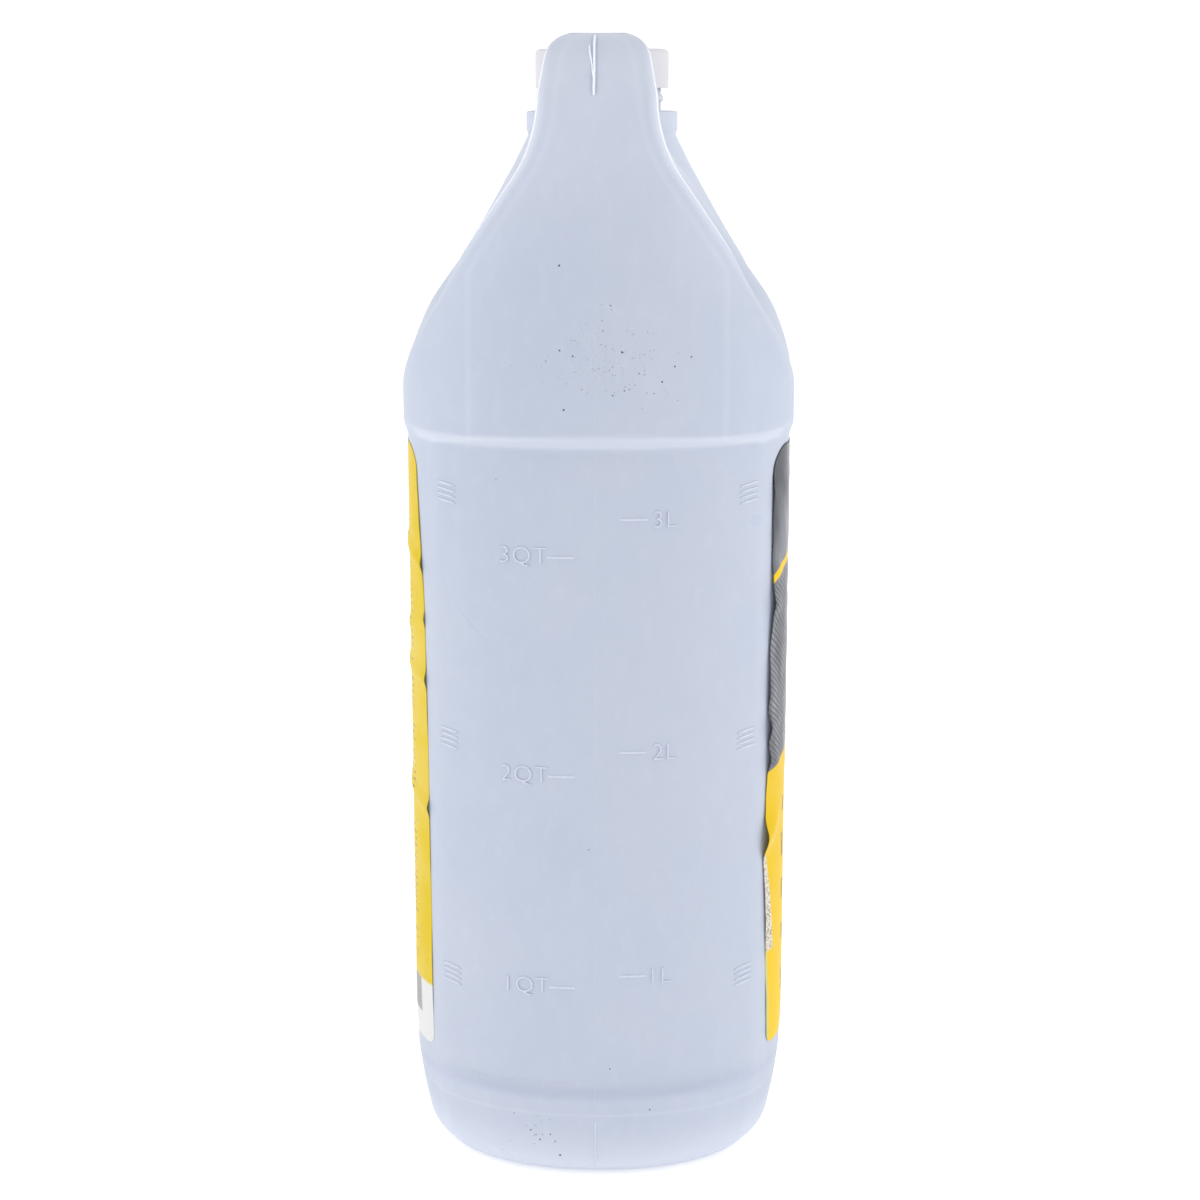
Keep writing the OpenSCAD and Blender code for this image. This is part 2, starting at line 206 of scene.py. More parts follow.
class JugForm:
    """Outer form of the jug as a field in millimetres: below zero in the plastic, zero on its skin."""

    def __init__(self, jug, neck):
        self.half_w = jug.width / MM / 2
        self.half_d = jug.depth / MM / 2
        self.ledge_z = jug.ledge_height / MM
        self.end_len = jug.end_length / MM
        self.panel_depth = jug.panel_depth / MM
        self.label_recess = jug.label_recess / MM
        self.edge_r = jug.edge_radius / MM
        self.lip_r = jug.lip_radius / MM
        self.blend = jug.blend_radius / MM
        self.neck_x = neck.place / MM
        self.collar_r = neck.collar_radius / MM
        # Fixed sizes in millimetres, from the base up: base, panels, heel, shoulder, handle, heights and crown.
        self.power = 2.1
        self.base_r, self.ring_w, self.push_up, self.base_step_z = 7.0, 6.0, 5.0, 24.6
        self.panel_slope, self.label_z, self.label_top = 3.3, 29.0, 196.5
        self.heel, self.heel_z = 0.12, 38.0
        self.side_bulge, self.label_half, self.label_fade = 0.6, 74.5, 7.0
        self.hole_step = 0.5
        self.shoulder_r, self.lean, self.flare_r = 32.0, math.radians(34.6), 35.0
        self.handle_half, self.handle_taper, self.top_r, self.corner_r = 15.2, 0.17, 6.3, 30.0
        self.shoulder_z = self.ledge_z + 11.5
        self.lean_z = self.shoulder_z + self.shoulder_r * math.sin(self.lean)
        self.lean_half = self.half_d - self.shoulder_r * (1 - math.cos(self.lean))
        self.flare_half = self.handle_half + self.flare_r * (1 - math.cos(self.lean))
        self.handle_z = self.ledge_z + 85.1
        self.flare_z = self.handle_z - self.flare_r * math.sin(self.lean)
        self.lean_slope = (self.lean_half - self.flare_half) / (self.flare_z - self.lean_z)
        self.top = self.handle_z + 15.6
        self.collar_z = self.flare_z + 9.0
        self.crown_x, self.crown_r = self.corner_r + 9 - self.half_w, 73.0
        self._make_end_table()
        self._make_hole_table()

    def side_half(self, z):
        lean = self.lean_half - (z - self.lean_z) * self.lean_slope
        flare = self.handle_half + arc_drop(self.flare_r, np.maximum(0.0, self.handle_z - z))
        handle = (
            self.handle_half
            - self.handle_taper * (z - self.handle_z)
            - arc_drop(self.top_r, np.maximum(0.0, z - self.top + self.top_r))
        )
        shoulder = self.half_d - arc_drop(self.shoulder_r, np.clip(z - self.shoulder_z, 0.0, self.shoulder_r))
        return np.where(
            z < self.lean_z, shoulder, np.where(z < self.flare_z, lean, np.where(z < self.handle_z, flare, handle))
        )

    def left_x(self, z):
        return arc_drop(self.corner_r, np.maximum(0.0, z - self.top + self.corner_r)) - self.half_w

    def crown(self, z):
        drop = np.maximum(0.0, z - self.top + self.crown_r)
        return self.crown_x + np.sqrt(np.maximum(0.0, self.crown_r**2 - drop**2))

    def near_len(self, z):
        return np.minimum(self.end_len, 0.45 * (self.crown(z) - self.left_x(z)))

    def crisp(self, z):
        return ease((z - self.ledge_z) / (self.handle_z - self.ledge_z))

    def edge_point(self, z):
        """Where the crisp edge of the handle side's face runs, by height."""
        half, near, crisp = self.side_half(z), self.near_len(z), self.crisp(z)
        c, s = math.cos(math.radians(72.5)) ** (2 / self.power), math.sin(math.radians(72.5)) ** (2 / self.power)
        x = crisp * 0.5 * self.edge_r + (1 - crisp) * near * (1 - c)
        y = crisp * (half - 0.134 * self.edge_r) + (1 - crisp) * half * s
        return self.left_x(z) + x, y

    def _make_end_table(self):
        """Reach of the near end's outline from its centre, by height and angle."""
        angle = np.linspace(0.0, 90.0, 1441)
        turn = np.radians(angle)
        c = np.maximum(np.cos(turn), 0.0) ** (2 / self.power)
        s = np.sin(turn) ** (2 / self.power)
        self.row_z0, self.row_step = self.ledge_z - 6.0, 0.25
        rows = np.arange(self.row_z0, self.top, self.row_step)
        self.spread = np.radians(np.linspace(0.0, 90.0, 451))
        # Angles in degrees: the flat face runs to edge and its rounded border turns over swing.
        edge, swing = 67.5, 7.5
        table = []
        for z in rows:
            half, near, crisp = float(self.side_half(z)), float(self.near_len(z)), float(self.crisp(z))
            t = np.radians(np.clip((angle - edge) * 90 / swing, 0.0, 90.0))
            x = self.edge_r * (1 - np.cos(t))
            y = np.where(angle <= edge, (half - self.edge_r) * angle / edge, half - self.edge_r * (1 - np.sin(t)))
            x = x + (near - self.edge_r) * np.clip((angle - edge - swing) / (90 - edge - swing), 0.0, 1.0)
            x = crisp * x + (1 - crisp) * near * (1 - c)
            y = crisp * y + (1 - crisp) * half * s
            table.append(np.interp(self.spread, np.arctan2(y, near - x), np.hypot(y, near - x)))
        self.reach_table = np.array(table)

    def end_reach(self, theta, z):
        table = self.reach_table
        row = np.clip((z - self.row_z0) / self.row_step, 0.0, len(table) - 1.001)
        col = np.clip(theta / self.spread[1], 0.0, len(self.spread) - 1.001)
        i, j = row.astype(int), col.astype(int)
        u, v = row - i, col - j
        return (1 - u) * ((1 - v) * table[i, j] + v * table[i, j + 1]) + u * (
            (1 - v) * table[i + 1, j] + v * table[i + 1, j + 1]
        )

    def _make_hole_table(self):
        """Distance from the finger hole's outline in side view: below zero in the hole."""
        # Corner circles of the hole, each as x, z and radius.
        circles = np.array(
            [
                [30 + 14 - self.half_w, self.top - 26 - 14, 14],
                [self.neck_x - 49, self.top - 26 - 28, 10],
                [30 + 13 - self.half_w, self.handle_z - 44.4, 13],
            ]
        )
        turn = np.linspace(0.0, 2 * math.pi, 181)[:-1]
        n = np.stack([np.cos(turn), np.sin(turn)], 1)
        best = np.argmax(n @ circles[:, :2].T + circles[:, 2], 1)
        ring = circles[best, :2] + circles[best, 2:] * n
        self.hole_x = np.arange(-95.0, 40.0, self.hole_step)
        self.hole_z = np.arange(205.0, 306.0, self.hole_step)
        p = np.stack(np.meshgrid(self.hole_x, self.hole_z, indexing="ij"), -1)
        gap = np.full(p.shape[:2], 1e9)
        out = np.full(p.shape[:2], -1e9)
        for k in range(len(ring)):
            a, b = ring[k], ring[(k + 1) % len(ring)]
            d = b - a
            size = float(d @ d)
            if size < 1e-12:
                continue
            t = np.clip(((p - a) @ d) / size, 0.0, 1.0)
            gap = np.minimum(gap, np.hypot(*np.moveaxis(p - a - t[..., None] * d, -1, 0)))
            out = np.maximum(out, (p - a) @ np.array([d[1], -d[0]]) / math.sqrt(size))
        self.hole_table = np.where(out > 0, gap, -gap)

    def hole(self, x, z):
        table = self.hole_table
        u = np.clip((x - self.hole_x[0]) / self.hole_step, 0.0, table.shape[0] - 1.001)
        v = np.clip((z - self.hole_z[0]) / self.hole_step, 0.0, table.shape[1] - 1.001)
        i, j = u.astype(int), v.astype(int)
        u, v = u - i, v - j
        inside = (1 - u) * ((1 - v) * table[i, j] + v * table[i, j + 1]) + u * (
            (1 - v) * table[i + 1, j] + v * table[i + 1, j + 1]
        )
        return inside + np.maximum(0.0, x - self.hole_x[-1]) + np.maximum(0.0, self.hole_z[0] - z)

    def section(self, x, y, z, x1):
        """Distance from the plan section at each height, with its far end at x1."""
        zc = np.minimum(z, self.top - 0.001)
        half, x0 = self.side_half(zc), self.left_x(zc)
        near = self.near_len(zc)
        cx = x0 + near
        v = np.abs(y) * (1 + self.heel * np.clip(1 - z / self.heel_z, 0.0, 1.0) ** 2)
        span = np.maximum(x1 - x0, 1.0)
        far = np.minimum(self.end_len * half / self.half_d, 0.45 * span)
        c2 = np.maximum(x1 - far, cx + 0.01)
        f_near = np.hypot(cx - x, v) - self.end_reach(np.arctan2(v, cx - x), zc)
        t = np.clip((x - cx) / (c2 - cx), 0.0, 1.0)
        f_side = v - half - self.side_bulge * np.minimum(1.0, span / (2 * self.half_w)) * 4 * t * (1 - t)
        w = np.maximum(x - c2, 1e-6)
        q = np.maximum(((w / far) ** self.power + (v / half) ** self.power) ** (1 / self.power), 1e-6)
        f_far = np.hypot(w, v) * (1 - 1 / q)
        f = np.where(x < cx, f_near, np.where(x > c2, f_far, f_side))
        rise = (z - self.base_step_z) / self.panel_slope + 0.5
        fall = (self.ledge_z - z) / self.panel_slope
        share = np.minimum(self.soft_step(rise), self.soft_step(fall))
        a = np.degrees(np.arcsin(np.clip(v / half, 0.0, 1.0) ** (self.power / 2)))
        ends = (x < cx) | (x > c2)
        f = f + np.where(ends & (z < self.ledge_z + 2), self.panel_depth * np.maximum(0.0, share - (a / 60) ** 2), 0.0)
        mask = ease((self.label_half - np.abs(x)) / self.label_fade) * ease((self.label_top + 5.5 - z) / 4.5)
        mask = mask * (0.7 + 0.3 * ease((z - self.label_z + 3) / 3.0))
        f = f + np.where(v > 30, self.label_recess * mask, 0.0)
        return np.where(z > self.top - 3, np.maximum(f, z - self.top), f)

    @staticmethod
    def soft_step(t, k=0.12):
        """Straight ramp from 0 to 1 with softened ends."""

        def knee(s):
            return np.where(s <= -k, 0.0, np.where(s >= k, s, (s + k) ** 2 / (4 * k)))

        return np.minimum(knee(t) - knee(t - 1.0), 1.0)

    def body(self, x, y, z):
        """Plan section whose far end steps back, inside the bell, from the shoulder to the handle's root."""
        low = np.minimum(z, self.top - 0.001)
        shoulder = self.neck_x + (self.half_w - self.neck_x) * self.side_half(low) / self.half_d
        return self.section(x, y, z, shoulder + (self.crown(low) - shoulder) * self.far_share(z))

    def far_share(self, z):
        """How far the body's far end has stepped back towards the handle's root."""
        return ease((z - self.collar_z + 13) / 12)

    def outer(self, x, y, z):
        b = self.body(x, y, z)
        slope = (self.body(x, y, z + 0.4) - b) / 0.4
        b = b / np.sqrt(1 + slope**2)
        if np.min(z) < 20:
            inset = np.clip((-b - self.base_r - self.ring_w) / 14, 0.0, 1.0)
            b = round_both(b, self.push_up * (1 - (1 - inset) ** 2) - z, self.base_r)
        if np.max(z) > 205:
            rho = np.hypot(x - self.neck_x, y)
            wide = self.collar_r - 0.4 + 0.51 * np.maximum(0.0, self.collar_z - 1.5 - z)
            wide = wide - 0.5 * np.maximum(0.0, self.lean_z + 8 - z)
            bell = np.maximum((rho - wide) / 1.12, z - self.collar_z - 1.0)
            bell = np.maximum(bell, self.shoulder_z + 6 - z)
            share = self.far_share(z)
            soft = 1 - 3.2 * share * (1 - share) * ease((x - 14) / 8)
            b = blend_union(b, bell, self.blend * soft)
            lip = np.clip(self.side_half(z) - 8, 7.0, self.lip_r)
            b = round_both(b, -self.hole(x, z), lip)
        return b

    def at(self, points):
        return self.outer(points[:, 0], points[:, 1], points[:, 2])

    def slope(self, points, h=0.02):
        g = np.empty_like(points)
        for k in range(3):
            step = np.zeros(3)
            step[k] = h
            g[:, k] = (self.at(points + step) - self.at(points - step)) / (2 * h)
        return g

    def settle(self, points, level=0.0, rounds=4, most=1.5):
        """Moves points along the field's slope until they lie on its level."""
        for _ in range(rounds):
            g = self.slope(points)
            f = self.at(points) - level
            move = -f / np.maximum((g * g).sum(1), 0.05)
            step = move[:, None] * g
            size = np.linalg.norm(step, axis=1)
            step *= np.minimum(1.0, most / np.maximum(size, 1e-9))[:, None]
            points = points + step
        return points

    def face_x(self, y, z):
        """Where the outer face of the near end lies, at these widths and heights."""
        y, z = np.broadcast_arrays(np.asarray(y, float), np.asarray(z, float))
        low, high = np.full(y.shape, -95.0), np.full(y.shape, -62.0)
        for _ in range(26):
            mid = (low + high) / 2
            outside = self.outer(mid, y, z) > 0
            low, high = np.where(outside, mid, low), np.where(outside, high, mid)
        return (low + high) / 2


def net(field, xs, ys, zs):
    """Closed quad mesh over the zero level of a field on a grid of planes."""
    nx, ny, nz = len(xs), len(ys), len(zs)
    values = np.empty((nx, ny, nz))
    gx, gy = np.meshgrid(xs, ys, indexing="ij")
    for k in range(nz):
        values[:, :, k] = field(gx, gy, np.full(gx.shape, zs[k]))
    values = np.where(np.abs(values) < 1e-9, 1e-9, values)
    inside = values < 0
    # Each cell that the level crosses gets one point, at the mean of the crossings on its edges.
    total = np.zeros((nx - 1, ny - 1, nz - 1, 3))
    count = np.zeros((nx - 1, ny - 1, nz - 1))
    axes = (xs, ys, zs)
    quads = []
    crossings = []
    for axis in range(3):
        a = [slice(None)] * 3
        b = [slice(None)] * 3
        a[axis], b[axis] = slice(0, -1), slice(1, None)
        va, vb = values[tuple(a)], values[tuple(b)]
        cross = inside[tuple(a)] != inside[tuple(b)]
        where = np.argwhere(cross)
        f0, f1 = va[cross], vb[cross]
        t = f0 / (f0 - f1)
        p = np.stack([axes[m][where[:, m]] for m in range(3)], 1).astype(float)
        step = np.diff(axes[axis])[where[:, axis]]
        p[:, axis] += t * step
        u, v = [(1, 2), (2, 0), (0, 1)][axis]
        corners = []
        for du, dv in ((-1, -1), (0, -1), (0, 0), (-1, 0)):
            cell = where.copy()
            cell[:, u] += du
            cell[:, v] += dv
            np.add.at(total, tuple(cell.T), p)
            np.add.at(count, tuple(cell.T), 1)
            corners.append(cell)
        crossings.append((corners, f0 < 0))
    used = count > 0
    index = np.full(count.shape, -1)
    index[used] = np.arange(int(used.sum()))
    points = total[used] / count[used][:, None]
    for corners, forward in crossings:
        ids = np.stack([index[tuple(c.T)] for c in corners], 1)
        quads.append(np.where(forward[:, None], ids, ids[:, ::-1]))
    return points, np.concatenate(quads)


def relax(form, points, quads, rounds):
    """Evens out the quads along the surface and settles the points on it again."""
    pairs = np.concatenate([quads[:, [0, 1]], quads[:, [1, 2]], quads[:, [2, 3]], quads[:, [3, 0]]])
    pairs = np.concatenate([pairs, pairs[:, ::-1]])
    degree = np.bincount(pairs[:, 0], minlength=len(points))[:, None]
    for _ in range(rounds):
        mean = np.zeros_like(points)
        for k in range(3):
            mean[:, k] = np.bincount(pairs[:, 0], weights=points[pairs[:, 1], k], minlength=len(points))
        move = mean / degree - points
        g = form.slope(points)
        g /= np.maximum(np.linalg.norm(g, axis=1), 1e-6)[:, None]
        move -= (move * g).sum(1)[:, None] * g
        points = form.settle(points + 0.5 * move, rounds=2)
    return points


def put_mesh(name, points, faces, angle=None):
    mesh = bpy.data.meshes.new(name)
    mesh.from_pydata([tuple(p) for p in points], [], [tuple(int(i) for i in f) for f in faces])
    mesh.validate()
    mesh.update()
    mesh.shade_smooth()
    if angle is not None:
        mesh.set_sharp_from_angle(angle=math.radians(angle))
    thing = bpy.data.objects.new(name, mesh)
    bpy.context.scene.collection.objects.link(thing)
    return thing


def point_out(thing):
    bm = bmesh.new()
    bm.from_mesh(thing.data)
    bmesh.ops.remove_doubles(bm, verts=bm.verts, dist=1e-7)
    bmesh.ops.recalc_face_normals(bm, faces=bm.faces)
    bm.to_mesh(thing.data)
    bm.free()


def turned(name, profile, x, steps=128):
    """Solid of revolution about the upright line at x, in millimetres.

    The profile lists (radius, height) and starts and ends on that line.
    """
    points, faces, rings = [], [], []
    for r, z in profile:
        if r < 1e-6:
            rings.append([len(points)])
            points.append((x * MM, 0.0, z * MM))
        else:
            rings.append(list(range(len(points), len(points) + steps)))
            for k in range(steps):
                a = 2 * math.pi * k / steps
                points.append(((x + r * math.cos(a)) * MM, r * math.sin(a) * MM, z * MM))
    for a, b in zip(rings, rings[1:]):
        for k in range(steps):
            j = (k + 1) % steps
            if len(a) == 1:
                faces.append((a[0], b[j], b[k]))
            elif len(b) == 1:
                faces.append((a[k], a[j], b[0]))
            else:
                faces.append((a[k], a[j], b[j], b[k]))
    thing = put_mesh(name, points, faces)
    point_out(thing)
    thing.data.set_sharp_from_angle(angle=math.radians(35))
    return thing


def applied(thing):
    """Turns what the modifiers make into the object's own mesh and removes them."""
    deps = bpy.context.evaluated_depsgraph_get()
    mesh = bpy.data.meshes.new_from_object(thing.evaluated_get(deps), depsgraph=deps)
    thing.modifiers.clear()
    old = thing.data
    thing.data = mesh
    bpy.data.meshes.remove(old)
    mesh.name = thing.name


def cut_or_join(thing, tool, operation):
    mod = thing.modifiers.new("form", "BOOLEAN")
    mod.operation = operation
    mod.solver = "EXACT"
    mod.object = tool
    bpy.context.view_layer.update()
    applied(thing)
    mesh = tool.data
    bpy.data.objects.remove(tool)
    bpy.data.meshes.remove(mesh)


def set_values(mesh, name, values):
    attribute = mesh.attributes.get(name) or mesh.attributes.new(name, "FLOAT", "POINT")
    attribute.data.foreach_set("value", np.asarray(values, np.float32))


def mesh_points(mesh):
    co = np.empty(len(mesh.vertices) * 3)
    mesh.vertices.foreach_get("co", co)
    return co.reshape(-1, 3)


def finish_piece(thing, body, slot_name, material, *nodes):
    thing.data.materials.clear()
    thing.data.materials.append(material)
    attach(thing, body)
    if nodes:
        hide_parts(*nodes)


class Value:
    """Wraps a shader socket so that maths on it reads as a plain expression."""

    def __init__(self, finish, socket):
        self.finish, self.socket = finish, socket

    def _maths(self, operation, *values):
        return self.finish.value("ShaderNodeMath", {"operation": operation}, dict(enumerate(values)))

    def __add__(self, other):
        return self._maths("ADD", self, other)

    def __radd__(self, other):
        return self._maths("ADD", other, self)

    def __sub__(self, other):
        return self._maths("SUBTRACT", self, other)

    def __rsub__(self, other):
        return self._maths("SUBTRACT", other, self)

    def __mul__(self, other):
        return self._maths("MULTIPLY", self, other)

    def __rmul__(self, other):
        return self._maths("MULTIPLY", other, self)

    def __truediv__(self, other):
        return self._maths("DIVIDE", self, other)

    def __rtruediv__(self, other):
        return self._maths("DIVIDE", other, self)

    def __abs__(self):
        return self._maths("ABSOLUTE", self)

    def __pow__(self, other):
        return self._maths("POWER", self, other)

    def __rpow__(self, other):
        return self._maths("POWER", other, self)

    def at_least(self, other):
        return self._maths("MAXIMUM", self, other)

    def at_most(self, other):
        return self._maths("MINIMUM", self, other)

    def part(self):
        return self._maths("FRACT", self)

    def over(self, low, high):
        """0 below low, 1 above high and a smooth rise between them."""
        return self.finish.value(
            "ShaderNodeMapRange",
            {"interpolation_type": "SMOOTHSTEP"},
            {0: self, 1: low, 2: high, 3: 0.0, 4: 1.0},
        )

    def near(self, centre, half, soft):
        """1 within half of the centre, fading over soft."""
        return 1 - abs(self - centre).over(half - soft / 2, half + soft / 2)


class Finish:
    """Builds the nodes of one material."""

    def __init__(self, name):
        self.material = bpy.data.materials.new(name)
        self.material.use_nodes = True
        self.tree = self.material.node_tree
        self.tree.nodes.clear()
        self.output = self.tree.nodes.new("ShaderNodeOutputMaterial")

    def node(self, kind, settings=None, sockets=None):
        node = self.tree.nodes.new(kind)
        for name, value in (settings or {}).items():
            setattr(node, name, value)
        for key, value in (sockets or {}).items():
            if isinstance(value, Value):
                self.tree.links.new(value.socket, node.inputs[key])
            elif isinstance(value, (tuple, list)) and len(value) == 3 and node.inputs[key].type == "RGBA":
                node.inputs[key].default_value = (*value, 1.0)
            else:
                node.inputs[key].default_value = value
        return node

    def value(self, kind, settings=None, sockets=None, output=0):
        return Value(self, self.node(kind, settings, sockets).outputs[output])

    def mix(self, share, a, b):
        return self.value("ShaderNodeMix", {"data_type": "RGBA"}, {0: share, 6: a, 7: b}, 2)

    def place(self):
        return self.value("ShaderNodeTexCoord", None, None, "Object")

    def scaled(self, vector, scale, move=(0, 0, 0)):
        return self.value(
            "ShaderNodeMapping", {"vector_type": "POINT"}, {"Vector": vector, "Scale": scale, "Location": move}
        )

    def split(self, vector):
        node = self.node("ShaderNodeSeparateXYZ", None, {0: vector})
        return [Value(self, out) for out in node.outputs]

    def field(self, name):
        return self.value("ShaderNodeAttribute", {"attribute_type": "GEOMETRY", "attribute_name": name}, None, "Fac")

    def uv(self):
        return self.value("ShaderNodeUVMap", {"uv_map": "UVMap"})

    def noise(self, vector, scale, detail=3.0, roughness=0.5):
        return self.value(
            "ShaderNodeTexNoise",
            {"noise_dimensions": "3D"},
            {"Vector": vector, "Scale": scale, "Detail": detail, "Roughness": roughness},
        )

    def bump(self, height, strength, distance):
        sockets = {"Height": height, "Strength": strength, "Distance": distance}
        return self.value("ShaderNodeBump", None, sockets)

    def surface(self, **sockets):
        names = {
            "color": "Base Color", "rough": "Roughness", "metal": "Metallic", "normal": "Normal",
            "spec": "Specular IOR Level", "glow": "Emission Color", "glow_strength": "Emission Strength",
        }  # fmt: skip
        shader = self.node("ShaderNodeBsdfPrincipled", None, {names[k]: v for k, v in sockets.items()})
        self.tree.links.new(shader.outputs[0], self.output.inputs["Surface"])
        return self.material


def spots(y, z, places):
    """Mask of soft round smudges at these (y, z, radius) places on the near end."""
    mask = None
    for py, pz, radius in places:
        dy, dz = y - py, z - pz
        one = 1 - (dy * dy + dz * dz).over(radius * radius * 0.3, radius * radius)
        mask = one if mask is None else mask.at_least(one)
    return mask


def jug_plastic(colours):
    finish = Finish("jug_plastic")
    place = finish.place()
    x, y, z = finish.split(place)
    clouds = finish.noise(place, 22.0, 3.0, 0.55)
    mottle = finish.noise(finish.scaled(place, (1.0, 1.0, 0.6)), 260.0, 3.0, 0.6)
    grain = finish.noise(place, 2200.0, 0.0, 0.6)
    base = finish.mix(clouds.over(0.3, 0.72), colours.plastic_deep[:], colours.plastic[:])
    # Painted highlight: sharply turned edges (the edge attribute) and the upper handle above 235 mm are lightened
    # towards the pale plastic, mixed with random pale mottle.
    edge = finish.field("edge")
    high = z.over(0.235, 0.295)
    light = (edge * 0.55 + mottle.over(0.45, 0.75) * 0.10 + high * 0.35).at_most(1.0)
    base = finish.mix(light, base, colours.plastic_highlight_and_pale[:])
    near = 1 - x.over(-0.068, -0.062)
    # Painted highlight: a thin white line along the crisp edge of the handle's outer face, between 218 and 300 mm up.
    rim = (1 - abs(finish.field("from_edge") + 0.1).over(0.10, 0.31)) * z.over(0.218, 0.252)
    rim = rim * (1 - z.over(0.2975, 0.2995)) * (1 - x.over(-0.04, -0.02))
    base = finish.mix(rim * 0.9, base, EDGE_HIGHLIGHT_WHITE)
    # Painted highlight: a faint pale line where the rounding of the handle face's edge begins.
    bevel = (1 - abs(finish.field("from_bevel")).over(0.2, 1.4)) * (1 - x.over(-0.04, -0.02))
    base = finish.mix(bevel * 0.07, base, (0.78, 0.82, 0.90))
    # Painted highlight: a pale band just under the shoulder ledge on the near end.
    ledge_highlight = z.near(0.1998, 0.0013, 0.0014) * near
    base = finish.mix(ledge_highlight * 0.55, base, colours.plastic_highlight_and_pale[:])
    # Painted light: the lowest 17 mm grow paler towards the floor, standing in for light bounced up from it.
    base = finish.mix((1 - z.over(0.001, 0.017)) * 0.85, base, colours.plastic_highlight_and_pale[:])
    # Painted shade: a darker band on the step above the base, about 24 mm up.
    base_step_shade = z.near(0.0237, 0.0014, 0.0026) * (1 - x.over(-0.05, -0.03))
    base = finish.mix(base_step_shade * 0.6, base, (0.435, 0.468, 0.605))
    trace = z.near(0.0180, 0.0003, 0.0006) * near
    base = finish.mix(trace * 0.25, base, colours.plastic_highlight_and_pale[:])
    seam_y = y - 0.0005
    seam = seam_y.near(0.0, 0.00016, 0.0003) * near
    base = finish.mix(seam * 0.22, base, colours.plastic_highlight_and_pale[:])
    # Painted shade: darker blue strips on each side of the flash ridge at the top of the handle; they also cut shallow
    # grooves in the bump.
    flash_groove_shade = abs(y - 0.0008).near(0.00058, 0.0002, 0.0003) * z.over(0.2862, 0.2868) * near
    base = finish.mix(flash_groove_shade * 0.5, base, (0.33, 0.43, 0.56))
    smudge = spots(y, z, [(-0.0053, 0.2267, 0.0030), (-0.0025, 0.2225, 0.0130)])
    patchy = finish.noise(place, 1100.0, 3.0, 0.7).over(0.52, 0.72)
    base = finish.mix(smudge * patchy * near * 0.16, base, colours.dirt[:])
    scratch_line = abs(y - 0.0335 - (z - 0.152) * 0.9).over(0.00008, 0.0003)
    scratch = (1 - scratch_line) * z.near(0.152, 0.0035, 0.002) * near
    dot_y, dot_z = y + 0.0412, z - 0.1779
    dot = ((dot_y * dot_y + dot_z * dot_z) ** 0.5).near(0.0, 0.0015, 0.0004) * near
    base = finish.mix(dot * 0.40, base, (0.42, 0.49, 0.63))
    rough = 0.42 + clouds * 0.10 + mottle * 0.06
    height = mottle * 0.5 + grain * 0.12 + seam * 0.5 - dot * 0.5 - scratch * 0.9 + clouds * 0.6 - flash_groove_shade * 0.8
    normal = finish.bump(height, 0.35, 0.0004)
    return finish.surface(color=base, rough=rough, normal=normal, spec=0.4)


def mark_plastic(colours):
    finish = Finish("raised_mark_plastic")
    place = finish.place()
    worn = finish.noise(place, 900.0, 3.0, 0.6)
    base = finish.mix(worn.over(0.3, 0.7), (0.570, 0.612, 0.710), colours.plastic_highlight_and_pale[:])
    return finish.surface(
        color=base, rough=0.38 + worn * 0.12, normal=finish.bump(worn, 0.2, 0.0001), spec=0.4,
    )  # fmt: skip


def flash_plastic():
    finish = Finish("trimmed_flash_plastic")
    worn = finish.noise(finish.place(), 900.0, 2.0, 0.6)
    base = finish.mix(worn.over(0.3, 0.7), (0.84, 0.87, 0.93), (0.93, 0.94, 0.97))
    return finish.surface(color=base, rough=0.45, normal=finish.bump(worn, 0.3, 0.0002), spec=0.4)


def speck_dirt(colours):
    finish = Finish("dirt_speck")
    tone = finish.noise(finish.place(), 1500.0, 1.0, 0.5)
    base = finish.mix(tone.over(0.35, 0.65), (0.06, 0.06, 0.075), colours.dirt[:])
    return finish.surface(color=base, rough=0.8, spec=0.2)


def cap_plastic(colours):
    finish = Finish("cap_plastic")
    place = finish.place()
    cloud = finish.noise(place, 60.0, 3.0, 0.5)
    grain = finish.noise(place, 1800.0, 2.0, 0.6)
    base = finish.mix(cloud.over(0.35, 0.7), colours.cap[:], tuple(min(1, c * 1.05) for c in colours.cap))
    return finish.surface(
        color=base, rough=0.42 + cloud * 0.08, normal=finish.bump(grain + cloud * 2, 0.12, 0.0002), spec=0.4,
    )  # fmt: skip


def liner_foam(colours):
    finish = Finish("liner_foam")
    place = finish.place()
    cells = finish.noise(place, 2600.0, 2.0, 0.7)
    base = finish.mix(cells.over(0.3, 0.7), colours.liner[:], tuple(c * 0.93 for c in colours.liner))
    return finish.surface(color=base, rough=0.8, normal=finish.bump(cells, 0.4, 0.0002))


def film_base(finish):
    """Fine ripple and gloss that both labels share."""
    place = finish.place()
    ripple = finish.noise(finish.scaled(place, (0.5, 1.0, 1.0)), 240.0, 3.0, 0.55)
    fine = finish.noise(place, 1500.0, 2.0, 0.5)
    normal = finish.bump(ripple + fine * 0.2, 0.25, 0.0005)
    return normal, 0.34 + ripple * 0.16


